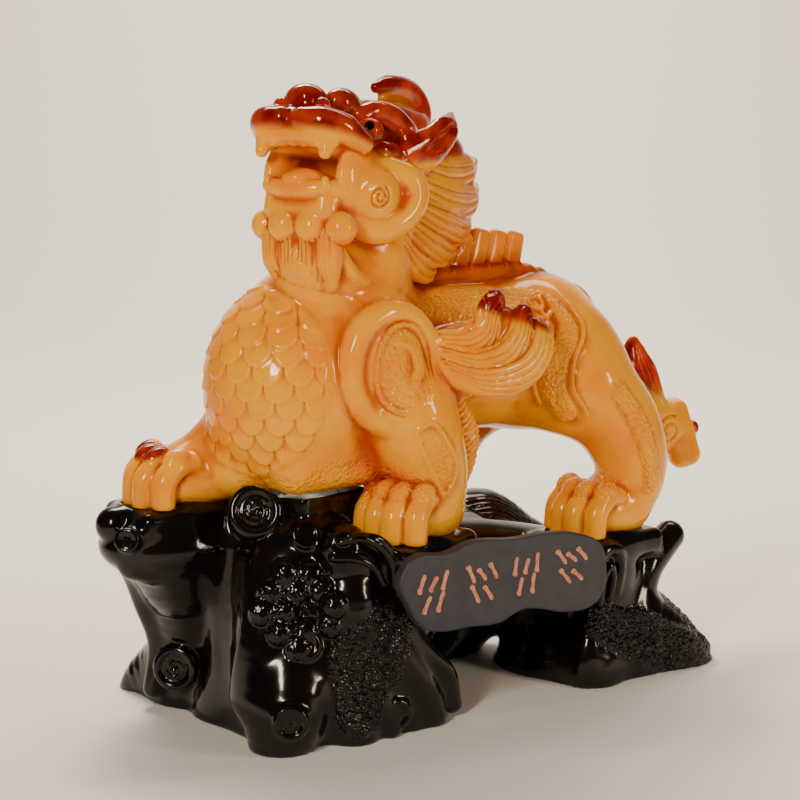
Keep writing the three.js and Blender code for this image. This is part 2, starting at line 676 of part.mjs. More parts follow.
function finSteps() {
  const steps = [
    add(limb(WORLD, [[-14, 0, 262], [30, 0, 256], [80, 0, 257], [103, 0, 254]], [8, 7, 6.5, 3.5]), 5),
  ];
  for (let plate = 0; plate < FIN.count; plate += 1) {
    const x = FIN.start + plate * FIN.pitch;
    const rise = FIN.rise - FIN.fall * Math.abs(plate - FIN.tallest);
    steps.push(add(block(WORLD, [x, 0, FIN.foot + rise / 2], [FIN.pitch / 2 - 0.2, FIN.half, rise / 2 + 3],
      FIN.half - 0.2, [0, 9, 0]), 0.8));
  }
  return steps.concat([
    add(egg(WORLD, [98, 0, 258], [8, 6, 5], [0, 20, 0]), 1.2),
    add(egg(WORLD, [145, 0, 238], [14, 9, 6], [0, 48, 0]), 1.2),
    add(egg(WORLD, [158, 0, 221], [13, 8, 5.5], [0, 62, 0]), 1.2),
    add(egg(WORLD, [167, 0, 200], [9, 11, 14], [0, -6, 0]), 1.5),
  ]);
}

// Tail: a thick stem, a flame on top of it and a disc that carries the stone
const TAIL_DISC = { middle: [231, -2, 139], heading: -30, lean: 17.5, radius: 24, half: 11, side: 11.5 };
const TAIL_FRAME = lookingFrame(TAIL_DISC.middle, TAIL_DISC.heading, TAIL_DISC.lean);

function tailSteps() {
  const { radius, half, side } = TAIL_DISC;
  const flame = [[205, 0, 160], [199, 0, 176], [193, 0, 190], [196, 0, 204]];
  const scroll = winding([213, -10, 144], [1, 0, 0], [0, 0, 1], 11, 3, 1.5, 60, 30);
  return [
    add(limb(WORLD, [[148, 0, 206], [170, 0, 186], [192, 0, 166], [212, 0, 151], [222, -1, 145]],
      [21, 18, 15, 14, 13]), 8),
    add(limb(WORLD, flame, [13, 15, 12, 2.5], { along: [0, 1, 0], share: 0.5 }), 1.5),
    add(egg(WORLD, [213, -1, 144], [15, side, 20]), 4),
    add(block(TAIL_FRAME, [0, 0, 0], [half, side, radius], 8), 3),
    raise(limb(WORLD, scroll, scroll.map(() => 2), DEEP, 1), -1.3, 2),
  ];
}

// Head: skull, muzzle, open mouth with a tongue, lips, chin and beard
function skullSteps() {
  return [
    add(egg(HEAD, [-14, 0, 14], [46, 33, 31]), 10),
    add(block(HEAD, [46, 0, 19], [34, 26, 13], 11), 7),
    add(block(HEAD, [36, 0, -24], [30, 24, 11], 9, [0, -4, 0]), 7),
    ...bothSides((side) => [
      add(egg(HEAD, [36, side * 24, -4], [24, 9, 22]), 6),
    ]),
    cut(limb(HEAD, [[86, 0, -1], [66, 0, -1], [54, 0, -2]], [16, 12, 7],
      { along: [0, 0, 1], share: 0.72 }), 4),
    cut(block(HEAD, [88, 0, -1], [26, 20, 9], 7), 4),
    add(limb(HEAD, [[40, 0, -9], [56, 0, -8], [64, 0, -9]], [14, 13, 9],
      { along: [0, 0, 1], share: 0.5 }), 2),
    add(limb(HEAD, [[44, 24, -13], [60, 19, -13], [67, 0, -15], [60, -19, -13], [44, -24, -13]],
      [5.5, 5, 4.6, 5, 5.5]), 2),
  ];
}

// Swollen lips under a round nose, with fangs and small teeth
function muzzleSteps() {
  const steps = [
    add(egg(HEAD, [64, 0, 36], [11, 12.5, 9]), 1.5),
    ...bothSides((side) => [
      add(egg(HEAD, [68, side * 13.5, 32], [5, 4.5, 4.5]), 1),
      add(egg(HEAD, [42, side * 10, 38], [13, 9.5, 9]), 1.5),
      add(limb(HEAD, [[77, side * 7, 23], [74, side * 19, 22], [63, side * 26, 20], [48, side * 30, 15]],
        [6.5, 8, 8.5, 6]), 1.5),
      add(limb(HEAD, [[69, side * 20.5, 14], [72, side * 21, 5]], [6.6, 3.6]), 2.5),
      add(limb(HEAD, [[65, side * 19, -13], [66, side * 19, -9]], [3.4, 2.2]), 1.5),
    ]),
  ];
  for (const across of [-13, -6.5, 0, 6.5, 13]) {
    steps.push(add(egg(HEAD, [72, across, 11.5], [2.6, 3.2, 3.4]), 2));
  }
  return steps;
}

function chinSteps() {
  const steps = [];
  for (const [across, radius] of [[-25, 9], [-9, 10.5], [9, 10.5], [25, 9.5]]) {
    steps.push(add(egg(HEAD, [60 - Math.abs(across) * 0.25, across, -34],
      [radius, radius * 0.95, radius]), 2));
  }
  for (const across of [-18, -6, 6, 18]) {
    steps.push(add(limb(HEAD, [[54, across, -40], [51, across, -53], [44, across * 0.9, -64]],
      [8, 7.5, 4.5]), 1.2));
  }
  return steps.concat(bothSides((side) => [
    add(limb(HEAD, [[50, side * 19, -42], [38, side * 22, -54], [24, side * 23, -60], [14, side * 24, -58]],
      [4.5, 4.5, 4.5, 3.5]), 1.2),
  ]));
}

// Bulging eyes under rolled brows, a crest between them and one curled horn
function browSteps() {
  return [
    add(limb(HEAD, [[24, 0, 36], [0, 0, 38], [-30, 0, 42], [-52, 0, 43]], [9, 11, 12, 12]), 3),
    ...bothSides((side) => [
      add(egg(HEAD, [EYE_BALL[0], side * EYE_BALL[1], EYE_BALL[2]], [8.5, 8, 8]), 1.5),
      add(egg(HEAD, [20, side * 29, 15], [13, 7, 6.5]), 1.5),
      add(limb(HEAD, [[37, side * 19, 33], [27, side * 23, 37], [12, side * 26, 36], [0, side * 29, 30],
        [4, side * 32, 26]], [4.5, 6, 7, 6.5, 6.5]), 1.2),
    ]),
    add(limb(HEAD, [[-58, 0, 42], [-61, 0, 54], [-52, 0, 62], [-37, 0, 64], [-21, 0, 62], [-9, 0, 58]],
      [10, 8.5, 7.5, 7, 6, 3.5]), 3),
    add(egg(HEAD, [-35, 0, 54], [22, 4.5, 9]), 1.5),
  ];
}

// Leaf-shaped ears with a hollow, and a round lobe behind each
function earSteps(side) {
  return [
    add(limb(HEAD, [[6, side * 33, 13], [-8, side * 38, 21], [-21, side * 41, 33], [-31, side * 40, 46]],
      [10, 13.5, 11, 2.5], { along: [0.35, side * 0.86, -0.36], share: 0.5 }), 1.2),
    cut(limb(HEAD, [[-4, side * 46, 20], [-14, side * 49, 28], [-24, side * 48, 38]],
      [3.5, 6.5, 3], { along: [0.35, side * 0.86, -0.36], share: 0.9 }), 1),
    add(egg(HEAD, [-50, side * 25, 27], [22, 12, 14]), 2),
  ];
}

// The cheek's roll bends round its middle, on a plane that looks forward and out
const CHEEK_PATH = [
  [44, 7], [30, 6], [17, 3], [9, 0], [6, -8], [9, -18], [17, -26], [27, -30], [36, -27], [43, -20],
];

function cheekSteps(side) {
  const roll = CHEEK_PATH.map(([forward, up]) => [forward, side * (44 - 0.577 * forward), up]);
  return [
    add(egg(HEAD, [24, side * 27, -11], [22, 14, 19]), 5),
    add(limb(HEAD, roll, [4, 7, 9, 10, 10, 10, 10, 9, 7, 4], null, 3), 3),
  ];
}

// Mane: broad locks fan back from the cheek, their ends curl up
const LOCKS = [
  { points: [[-14, 31, 12], [-40, 33, 12], [-68, 32, 18], [-87, 29, 27]], radii: [9, 13, 12, 4] },
  { points: [[-14, 32, 1], [-44, 35, -2], [-74, 33, 2], [-92, 29, 12]], radii: [9, 13, 12, 4] },
  { points: [[-14, 32, -11], [-42, 35, -15], [-70, 32, -15], [-88, 28, -7]], radii: [9, 13, 12, 4] },
  { points: [[-10, 31, -22], [-34, 33, -29], [-58, 30, -31], [-76, 26, -26]], radii: [9, 13, 12, 4] },
  { points: [[-2, 29, -31], [-22, 30, -41], [-42, 28, -44], [-60, 24, -41]], radii: [8, 12, 10, 4] },
];

function maneSteps(side) {
  const steps = [add(egg(HEAD, [-44, side * 16, -4], [45, 18, 38]), 8)];
  for (const { points, radii } of LOCKS) {
    const line = points.map(([x, y, z]) => [x, side * y, z]);
    steps.push(add(limb(HEAD, line, radii, { along: [0, 1, 0], share: 0.55 }), 1.2));
    for (const share of [-0.42, 0.08]) {
      const groove = line.map(([x, y, z], i) => [x, y + side * 5, z + share * radii[i]]);
      steps.push(raise(limb(HEAD, groove, radii.map((radius) => Math.min(radius / 4, 2.2)), DEEP), -1.2, 2));
    }
  }
  return steps;
}

function figureSteps() {
  return [
    ...bodySteps(),
    ...legSteps(),
    ...Object.values(PAWS).flatMap(pawSteps),
    ...fringeSteps(),
    ...bothSides(wingSteps),
    ...reliefSteps(),
    ...finSteps(),
    ...tailSteps(),
    ...bothSides(maneSteps),
    ...skullSteps(),
    ...bothSides(cheekSteps),
    ...muzzleSteps(),
    ...chinSteps(),
    ...browSteps(),
    ...bothSides(earSteps),
  ];
}

// The figure's place on the root
function figurePlace(x, y, z) {
  return [x * FIGURE_SCALE, y * FIGURE_SCALE,
    (z - DRAWN_SEAT) * FIGURE_SCALE + SEAT_HEIGHT + SEAT_CLEARANCE];
}

// Root steps are drawn at the drawing's size, so places on the real root are turned back
const toRootDrawing = ([x, y, z]) => [x / ROOT_SCALE, y / ROOT_SCALE, z / ROOT_RISE];

function seatOf({ ankle, heading }) {
  const [x, y, z] = figurePlace(...ankle);
  return { x, y, z: z - SEAT_CLEARANCE, heading };
}

// Trunk under the raised far paw, with sawn stubs round its top
function stumpSteps() {
  return [
    add(limb(WORLD, [[-96, 72, -12], [-108, 62, 35], [-122, 50, 74], [-134, 44, 106]], [43, 29, 25, 32]), 1),
    add(egg(WORLD, [-136, 44, 108], [44, 36, 21]), 10),
    add(limb(WORLD, [[-148, 50, 108], [-170, 48, 120], [-182, 46, 126]], [15, 11, 8.5]), 5),
    add(limb(WORLD, [[-150, 30, 96], [-168, 24, 104]], [13, 9.5]), 4),
    add(limb(WORLD, [[-138, 20, 104], [-144, 6, 112]], [12, 9]), 4),
    add(limb(WORLD, [[-132, 66, 100], [-140, 84, 112]], [13, 9]), 5),
    add(limb(WORLD, [[-110, 78, 20], [-128, 98, 4], [-134, 104, -8]], [24, 14, 10]), 10),
    add(limb(WORLD, [[-104, 26, -10], [-98, 22, 40], [-98, 20, 84], [-104, 22, 112]], [28, 25, 22, 18]), 8),
  ];
}

// Front mass that carries the near front paw, with three toes of root on the table
function frontRootSteps() {
  return [
    add(limb(WORLD, [[-78, -8, -12], [-80, -14, 45], [-78, -14, 100]], [46, 42, 34]), 16),
    add(limb(WORLD, [[-92, -30, 52], [-108, -42, 24], [-113, -40, -8]], [27, 25, 17]), 10),
    add(limb(WORLD, [[-78, -36, 48], [-72, -50, 20], [-70, -54, -8]], [26, 20, 14]), 10),
    add(limb(WORLD, [[-62, -32, 70], [-46, -40, 40], [-34, -42, 8], [-30, -42, -8]], [24, 26, 25, 24]), 12),
    add(limb(WORLD, [[-50, -34, 60], [-30, -46, 34], [-16, -50, 10], [-10, -52, -8]], [22, 17, 15, 14]), 8),
    add(limb(WORLD, [[-98, -18, 96], [-112, -26, 64], [-118, -28, 30]], [22, 20, 18]), 10),
    add(block(WORLD, [-70, 2, 132], [27, 29, 27], 5, [0, 5, 12]), 3),
    cut(limb(WORLD, [[-126, 2, 124], [-131, -8, 96], [-132, -14, 66], [-130, -12, 40]], [7, 10, 10, 6]), 7),
    add(limb(WORLD, [[-98, -36, 66], [-110, -44, 40], [-113, -45, 14]], [12, 15, 13]), 3),
    add(limb(WORLD, [[-66, -36, 96], [-72, -52, 84], [-70, -50, 60]], [22, 18, 16]), 8),
  ];
}

// Bridge that carries the other paws, open beneath at the front
function bridgeSteps() {
  return [
    add(limb(WORLD, [[-60, 12, 66], [0, 16, 72], [60, 14, 70], [118, -4, 56]], [34, 31, 30, 32]), 14),
    add(limb(WORLD, [[-46, -44, 84], [-10, -52, 84], [40, -54, 82], [84, -54, 76]], [18, 20, 18, 16]), 10),
    add(limb(WORLD, [[-20, 40, -12], [20, 52, 30], [60, 50, 60]], [24, 22, 24]), 12),
    add(limb(WORLD, [[118, -10, -12], [122, -20, 34], [122, -34, 66]], [44, 32, 26]), 12),
    add(limb(WORLD, [[60, 56, -10], [92, 40, 30], [104, 14, 50]], [20, 22, 24]), 12),
    add(limb(WORLD, [[0, 52, 4], [34, 60, 10], [70, 56, 4]], [24, 26, 22]), 12),
    cut(limb(WORLD, [[28, -110, 8], [32, -50, 16], [38, 6, 20], [36, 30, 14]], [46, 43, 34, 18]), 6),
  ];
}

// Right foot with its slope of lichen, the rising branch and the striped ridge behind
function rightRootSteps() {
  const ridge = [[70, 46, 84], [96, 43, 86], [124, 40, 72], [152, 34, 56], [172, 26, 40]];
  const steps = [
    add(limb(WORLD, [[122, -36, 40], [112, -52, 14], [110, -60, -10]], [24, 18, 12]), 10),
    add(limb(WORLD, [[126, -30, 54], [154, -42, 30], [180, -54, 12], [194, -58, -2]], [28, 26, 18, 13]), 10),
    add(limb(WORLD, [[116, -42, 8], [150, -46, 4], [184, -56, -2]], [28, 25, 15]), 10),
    add(limb(WORLD, [[132, 0, 40], [160, 10, 14], [176, 16, -8]], [28, 18, 10]), 12),
    add(limb(WORLD, [[151, -50, 40], [153, -50, 54], [159, -50, 66], [170, -49, 75], [183, -47, 83]],
      [15, 13, 12, 11, 10]), 6),
    add(limb(WORLD, ridge, [24, 23, 18, 15, 10]), 8),
  ];
  for (const share of [-0.6, -0.2, 0.2, 0.6]) {
    const groove = ridge.map(([x, y, z], i) => [x, y - 22 + share * 8, z + 15 + share * 16 - i * 2.5]);
    steps.push(raise(limb(WORLD, groove, [3, 3, 3, 2.6, 2]), -2, 3));
  }
  return steps;
}

// Sawn knots: a raised ring round a button
const KNOTS = [
  { middle: [-110, -12, 133], out: [-0.48, -0.81, 0.35], radius: 16 },
  { middle: [-93, -39, 122], out: [-0.35, -0.82, 0.45], radius: 8.5 },
  { middle: [-77, -64, 117], out: [-0.4, -0.86, 0.3], radius: 12 },
  { middle: [-137, 40, 29], out: [-0.7, -0.7, 0.1], radius: 14 },
  { middle: [-121, -66, 23], out: [-0.45, -0.89, 0.05], radius: 10.5 },
  { middle: [-104, -56, 63], out: [-0.35, -0.9, 0.25], radius: 8.5 },
  { middle: [-188, 41, 128], out: [-0.75, -0.6, 0.28], radius: 9 },
  { middle: [-148, -3, 114], out: [-0.5, -0.85, 0.15], radius: 8.5 },
];

function knotSteps({ middle, out, radius }) {
  const outward = new THREE.Vector3(...out).normalize();
  const across = new THREE.Vector3(0, 0, 1).cross(outward).normalize();
  const up = outward.clone().cross(across);
  const ring = winding(middle, across.toArray(), up.toArray(), radius * 0.8, radius * 0.8, 1, 0, 14);
  const back = middle.map((value, axis) => value - outward.getComponent(axis) * radius);
  return [
    add(limb(WORLD, [back, middle], [radius * 0.95, radius * 0.85]), 4),
    add(limb(WORLD, ring, ring.map(() => radius * 0.24), null, 1), 1.5),
    add(egg(WORLD, middle, [radius * 0.34, radius * 0.34, radius * 0.34]), 1.2),
  ];
}

// Pine tufts: small round fans in rows on the front of the root
const TUFT_RADIUS = 8.2;
const TUFTS = [
  [-107, -39, 101], [-94, -45, 100], [-116, -37, 92], [-103, -44, 91], [-90, -52, 92],
  [-122, -38, 81], [-111, -44, 81], [-96, -48, 80], [-88, -61, 85], [-115, -46, 70],
  [-101, -51, 70], [-89, -58, 73], [-107, -52, 60],
];

function tuftSteps([x, y, z]) {
  return [add(egg(WORLD, [x, y, z], [TUFT_RADIUS, TUFT_RADIUS * 0.75, TUFT_RADIUS]), 0.8)];
}

// The figure's own skin, pushed out by the clearance, as seen from the root's drawing
function figureRoom(steps) {
  const forms = steps.filter((step) => step.how !== 'raise');
  return {
    middle: new THREE.Vector3(0, 0, 190),
    reach: 400,
    far(x, y, z) {
      const wx = x * ROOT_SCALE / FIGURE_SCALE;
      const wy = y * ROOT_SCALE / FIGURE_SCALE;
      const wz = (z * ROOT_RISE - SEAT_HEIGHT - SEAT_CLEARANCE) / FIGURE_SCALE + DRAWN_SEAT;
      const near = stepsNear(forms, wx, wy, wz, ROOT_CLEARANCE);
      if (!near.length) return 20;
      return carve(near, wx, wy, wz) * FIGURE_SCALE - ROOT_CLEARANCE;
    },
  };
}

function rootSteps(figure) {
  const supports = Object.values(PAWS).map(seatOf).flatMap(({ x, y, z, heading }) => {
    const frame = lookingFrame([x, y, z], heading, 0);
    const middle = placed(frame, [(PAW_REACH - PAW_BACK) / 2 * FIGURE_SCALE, 0, 0]);
    const stations = [-10, -24, -48].map((drop) => toRootDrawing([middle.x, middle.y, z + drop]));
    return [add(limb(WORLD, stations, [27, 27, 20]), 8)];
  });
  return [
    ...stumpSteps(),
    ...frontRootSteps(),
    ...bridgeSteps(),
    ...rightRootSteps(),
    ...supports,
    ...KNOTS.flatMap(knotSteps),
    ...TUFTS.flatMap(tuftSteps),
    { form: figureRoom(figure), how: 'cut', soft: 1 },
  ];
}

// Solids: exact cuts and joins
const wasm = await Module();
wasm.setup();

function solidOf({ positions, faces }) {
  return new wasm.Manifold(new wasm.Mesh({
    numProp: 3,
    vertProperties: Float32Array.from(positions),
    triVerts: Uint32Array.from(faces),
  }));
}

function solidOfGeometry(geometry, matrix = new THREE.Matrix4()) {
  const bare = new THREE.BufferGeometry();
  bare.setAttribute('position', geometry.getAttribute('position').clone());
  if (geometry.index) bare.setIndex(geometry.index);
  const merged = mergeVertices(bare.applyMatrix4(matrix), 1e-4);
  return solidOf({ positions: merged.getAttribute('position').array, faces: merged.index.array });
}

function geometryOf(solid) {
  const mesh = solid.getMesh();
  const geometry = new THREE.BufferGeometry();
  geometry.setAttribute('position', new THREE.BufferAttribute(mesh.vertProperties, 3));
  geometry.setIndex(new THREE.BufferAttribute(mesh.triVerts, 1));
  return geometry;
}

function transformed({ positions, faces }, place) {
  const moved = [];
  for (let i = 0; i < positions.length; i += 3) {
    moved.push(...place(positions[i], positions[i + 1], positions[i + 2]));
  }
  return { positions: moved, faces };
}

// A box below each sole, as wide as the paw is long and more, leaves it flat
const CUT_DROP = 30;
const CUT_MARGIN = 15;

function soleCut(paw) {
  const seat = seatOf(paw);
  const span = (PAW_REACH + PAW_BACK + 2 * CUT_MARGIN) * FIGURE_SCALE;
  const box = new THREE.BoxGeometry(span, span, CUT_DROP);
  const frame = lookingFrame([seat.x, seat.y, seat.z], paw.heading, 0);
  const ahead = placed(frame, [(PAW_REACH - PAW_BACK) / 2 * FIGURE_SCALE, 0, 0]);
  return solidOfGeometry(box, new THREE.Matrix4().makeTranslation(
    ahead.x, ahead.y, seat.z + SEAT_CLEARANCE - CUT_DROP / 2));
}

// The outline of a paw and a margin, as a flat slab from one height to another
function pawSlab(paw, from, to, margin) {
  const seat = seatOf(paw);
  const half = (PAW_REACH + PAW_BACK) / 2 * FIGURE_SCALE + margin;
  const wide = PAW_HALF_WIDTH * FIGURE_SCALE + margin;
  const corner = wide * PAW_ROUNDNESS;
  const outline = new THREE.Shape();
  outline.moveTo(-half + corner, -wide);
  outline.lineTo(half - corner, -wide);
  outline.absarc(half - corner, -wide + corner, corner, -Math.PI / 2, 0);
  outline.absarc(half - corner, wide - corner, corner, 0, Math.PI / 2);
  outline.absarc(-half + corner, wide - corner, corner, Math.PI / 2, Math.PI);
  outline.absarc(-half + corner, -wide + corner, corner, Math.PI, Math.PI * 1.5);
  const slab = new THREE.ExtrudeGeometry(outline,
    { depth: to - from, bevelEnabled: false, curveSegments: 3 });
  const ahead = (PAW_REACH - PAW_BACK) / 2 * FIGURE_SCALE;
  return solidOfGeometry(slab, lookingFrame([seat.x, seat.y, seat.z + from], paw.heading, 0)
    .multiply(new THREE.Matrix4().makeTranslation(ahead, 0, 0)));
}

// Name plate: a wavy board, as shares of its length and height from its lower left
const PLATE_CENTRE_X = 20;
const PLATE_FOOT = 64;
const PLATE_EDGE = [
  [0.02, 0.86], [0.06, 0.99], [0.22, 0.98], [0.33, 1.06], [0.55, 1.0], [0.7, 1.0], [0.87, 0.9],
  [0.97, 0.72], [1.0, 0.4], [0.985, 0.08], [0.93, -0.08], [0.8, -0.1], [0.66, 0.02], [0.58, 0.06],
  [0.46, -0.05], [0.32, -0.02], [0.18, 0.0], [0.1, 0.1], [0.035, 0.42], [0.0, 0.7],
];

function namePlate() {
  const left = PLATE_CENTRE_X - PLATE_LENGTH / 2;
  const points = PLATE_EDGE.map(([along, up]) =>
    new THREE.Vector2(left + along * PLATE_LENGTH, PLATE_FOOT + up * PLATE_HEIGHT));
  const outline = new THREE.Shape(new THREE.SplineCurve([...points, points[0]]).getPoints(34).slice(0, -1));
  const board = new THREE.ExtrudeGeometry(outline, {
    depth: PLATE_THICKNESS - 3, bevelEnabled: true, bevelThickness: 1.5, bevelSize: 1.5, bevelOffset: -1.5,
    bevelSegments: 1,
  });
  const upright = new THREE.Matrix4().makeRotationX(Math.PI / 2)
    .setPosition(0, PLATE_FRONT + PLATE_THICKNESS - 1.5, 0);
  return solidOfGeometry(board, upright);
}

// Two rows of shallow slanting strokes in each of four square groups on the plate
const STROKE_GROUPS = 4;
const STROKES = [
  { across: -0.38, up: 0.27, long: 0.5, turn: 68 },
  { across: -0.02, up: 0.23, long: 0.42, turn: 58 },
  { across: 0.33, up: 0.28, long: 0.52, turn: 72 },
  { across: -0.22, up: -0.28, long: 0.48, turn: 62 },
  { across: 0.2, up: -0.25, long: 0.55, turn: 70 },
];

function plateStrokes() {
  const strokes = [];
  const pitch = PLATE_LENGTH * 0.22;
  for (let group = 0; group < STROKE_GROUPS; group += 1) {
    const x = PLATE_CENTRE_X + (group - (STROKE_GROUPS - 1) / 2) * pitch - PLATE_LENGTH * 0.02;
    const z = PLATE_FOOT + PLATE_HEIGHT * 0.52;
    for (const { across, up, long, turn } of STROKES) {
      const flip = group % 2 ? -1 : 1;
      const bar = new THREE.BoxGeometry(long * STROKE_BLOCK, 2 * STROKE_RAISE, STROKE_WIDTH);
      const place = new THREE.Matrix4()
        .makeTranslation(x + flip * across * STROKE_BLOCK, PLATE_FRONT, z + up * STROKE_BLOCK)
        .multiply(new THREE.Matrix4().makeRotationY((flip * turn + group * 7) * DEGREE));
      strokes.push(solidOfGeometry(bar, place));
    }
  }
  return strokes;
}

// Tail stone and its round setting, along the axis of the tail's disc
const STONE_SIDES = 16;

function stoneFrame() {
  const origin = figurePlace(...placed(TAIL_FRAME, [TAIL_DISC.half, 0, 0]).toArray());
  return lookingFrame(origin, TAIL_DISC.heading, TAIL_DISC.lean)
    .multiply(new THREE.Matrix4().makeRotationY(Math.PI / 2));
}

function drum(radius, from, to) {
  const shape = new THREE.CylinderGeometry(radius, radius, to - from, STONE_SIDES);
  const upright = new THREE.Matrix4().makeRotationX(Math.PI / 2).setPosition(0, 0, (from + to) / 2);
  return solidOfGeometry(shape, stoneFrame().multiply(upright));
}

function stoneGeometry() {
  const radius = GEM_DIAMETER / 2;
  const foot = -GEM_SEAT + GEM_CLEARANCE;
  const profile = [new THREE.Vector2(0, foot), new THREE.Vector2(radius, foot), new THREE.Vector2(radius, 0)];
  for (let i = 1; i <= 2; i += 1) {
    const angle = i / 3 * Math.PI / 2;
    profile.push(new THREE.Vector2(Math.cos(angle) * radius, Math.sin(angle) * GEM_RISE));
  }
  profile.push(new THREE.Vector2(0, GEM_RISE));
  const turned = new THREE.LatheGeometry(profile, STONE_SIDES);
  const upright = new THREE.Matrix4().makeRotationX(Math.PI / 2);
  return geometryOf(solidOfGeometry(turned, stoneFrame().multiply(upright)));
}

// The whole part
function figureGeometry(steps) {
  const headFirst = (x, y, z) => (z > HEAD_FLOOR && x < 20 ? HEAD_CARE : 1);
  const thin = thinned(skin(steps, FIGURE_CELL), FIGURE_TRIANGLES, headFirst);
  let solid = solidOf(transformed(thin, figurePlace));
  for (const paw of Object.values(PAWS)) solid = solid.subtract(soleCut(paw));
  solid = solid.add(drum(GEM_DIAMETER / 2 + GEM_RIM, -GEM_SEAT * 2, 0));
  solid = solid.subtract(drum(GEM_DIAMETER / 2 + GEM_CLEARANCE, -GEM_SEAT, GEM_RISE * 2));
  return geometryOf(solid);
}

function rootGeometry(steps) {
  const thin = thinned(skin(rootSteps(steps), ROOT_CELL), ROOT_TRIANGLES);
  let solid = solidOf(transformed(thin, (x, y, z) => [x * ROOT_SCALE, y * ROOT_SCALE, z * ROOT_RISE]));
  solid = solid.add(namePlate());
  for (const stroke of plateStrokes()) solid = solid.add(stroke);
  for (const paw of Object.values(PAWS)) {
    solid = solid.add(pawSlab(paw, -SEAT_DEPTH, 0, SEAT_MARGIN))
      .subtract(pawSlab(paw, 0, SEAT_ROOM, SEAT_MARGIN + ROOT_CLEARANCE / 2));
  }
  const floor = new THREE.BoxGeometry(3 * ROOT_LENGTH, 3 * ROOT_LENGTH, SEAT_HEIGHT);
  solid = solid.subtract(solidOfGeometry(floor, new THREE.Matrix4().makeTranslation(0, 0, -SEAT_HEIGHT / 2)));
  return geometryOf(solid);
}

function piece(name, geometry, color, roughness) {
  const mesh = new THREE.Mesh(geometry, new THREE.MeshStandardMaterial({ color, roughness, metalness: 0 }));
  mesh.name = name;
  return mesh;
}

const steps = figureSteps();
const pixiu = new THREE.Group();
pixiu.add(piece('pixiu', figureGeometry(steps), 0xe8920f, 0.18));
pixiu.add(piece('root_base', rootGeometry(steps), 0x17110e, 0.22));
pixiu.add(piece('tail_gem', stoneGeometry(), 0xa80f1c, 0.08));

// The middle of the whole goes over the origin
const middle = new THREE.Box3().setFromObject(pixiu).getCenter(new THREE.Vector3());
for (const mesh of pixiu.children) mesh.geometry.translate(-middle.x, -middle.y, 0);

export default pixiu;
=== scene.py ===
# A pixiu striding over a driftwood root, in imitation amber on a black casting.
# Everything is in metres in the frame of the solids; the carving is reckoned in millimetres.
import math

import bmesh
import bpy
import numpy as np
from bpy.props import FloatProperty, FloatVectorProperty, PointerProperty
from mathutils import Matrix, Vector


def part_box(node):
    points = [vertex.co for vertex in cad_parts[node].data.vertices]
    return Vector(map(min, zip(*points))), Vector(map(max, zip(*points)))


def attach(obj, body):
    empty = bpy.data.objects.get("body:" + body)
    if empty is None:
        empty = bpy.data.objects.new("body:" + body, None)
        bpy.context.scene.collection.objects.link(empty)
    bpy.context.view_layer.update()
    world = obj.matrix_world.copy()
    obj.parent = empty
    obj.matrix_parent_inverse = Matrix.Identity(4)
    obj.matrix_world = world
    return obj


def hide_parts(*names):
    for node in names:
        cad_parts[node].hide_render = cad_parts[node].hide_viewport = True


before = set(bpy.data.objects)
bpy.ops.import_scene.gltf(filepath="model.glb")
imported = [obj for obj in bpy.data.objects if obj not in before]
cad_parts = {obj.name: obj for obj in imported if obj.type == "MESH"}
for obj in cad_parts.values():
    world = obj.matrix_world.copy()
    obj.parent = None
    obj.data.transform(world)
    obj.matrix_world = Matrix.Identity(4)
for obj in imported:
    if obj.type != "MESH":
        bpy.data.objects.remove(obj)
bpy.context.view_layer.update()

bl_info = {
    "name": "Pixiu on a root base",
    "version": (1, 0, 0),
    "blender": (4, 5, 0),
    "location": "View3D > Sidebar > Pixiu",
    "description": "Carves a pixiu in imitation amber, its black root base and a plain stage",
    "category": "Object",
}

MM = 0.001
ROOT_BODY = "root"
FIGURE_TRIANGLES = 196000
ROOT_TRIANGLES = 150000

# The carving is drawn round the figure; the solids stand with the middle of their box over the origin
DRAWN_STONE = (240.29, -7.09, 142.37)
SHIFT = np.add(*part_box("tail_gem")) / 2 / MM - DRAWN_STONE


# Carving kit: forms that know the distance to their skin, joined and cut softly

WORLD = np.eye(4)


def frame_of(forward, side, up, origin):
    """A frame from its three axes and its middle."""
    place = np.eye(4)
    place[:3] = np.stack([forward, side, up, origin], 1)
    return place


def looking_frame(origin, heading, pitch=0):
    """Forward, side and up of something that looks along a heading, lifted by a pitch."""
    turn, lift = math.radians(heading), math.radians(pitch)
    forward = np.array([math.cos(turn) * math.cos(lift), math.sin(turn) * math.cos(lift), math.sin(lift)])
    side = np.array([-math.sin(turn), math.cos(turn), 0.0])
    return frame_of(forward, side, np.cross(forward, side), origin)


def placed(place, points):
    """Points of a frame as places of the whole."""
    return np.asarray(points, float) @ place[:3, :3].T + place[:3, 3]


def shifted(middle, turns=(0, 0, 0)):
    """A frame with its middle moved, turned by degrees about X, then its own Y, then its own Z."""
    rx, ry, rz = (Matrix.Rotation(math.radians(turn), 4, axis) for turn, axis in zip(turns, "XYZ"))
    place = np.array(rx @ ry @ rz)
    place[:3, 3] = middle
    return place


class Form:
    """A shape with a middle, a reach round it and a distance to its skin.

    far(points, centres, ball) takes blocks of points: centres holds the middle of each block and
    ball how far its points lie from it, so a form may skip what can't matter there."""

    def __init__(self, middle, reach, far):
        self.middle = np.asarray(middle, float)
        self.reach = reach
        self.far = far


def own_axes(place, middle, turns=(0, 0, 0)):
    """Middle of a shape turned in a frame, and a function that gives points along its own axes."""
    whole = place @ shifted(middle, turns)
    back = np.linalg.inv(whole)[:3].astype(np.float32)
    return whole[:3, 3], lambda points: points @ back[:, :3].T + back[:, 3]


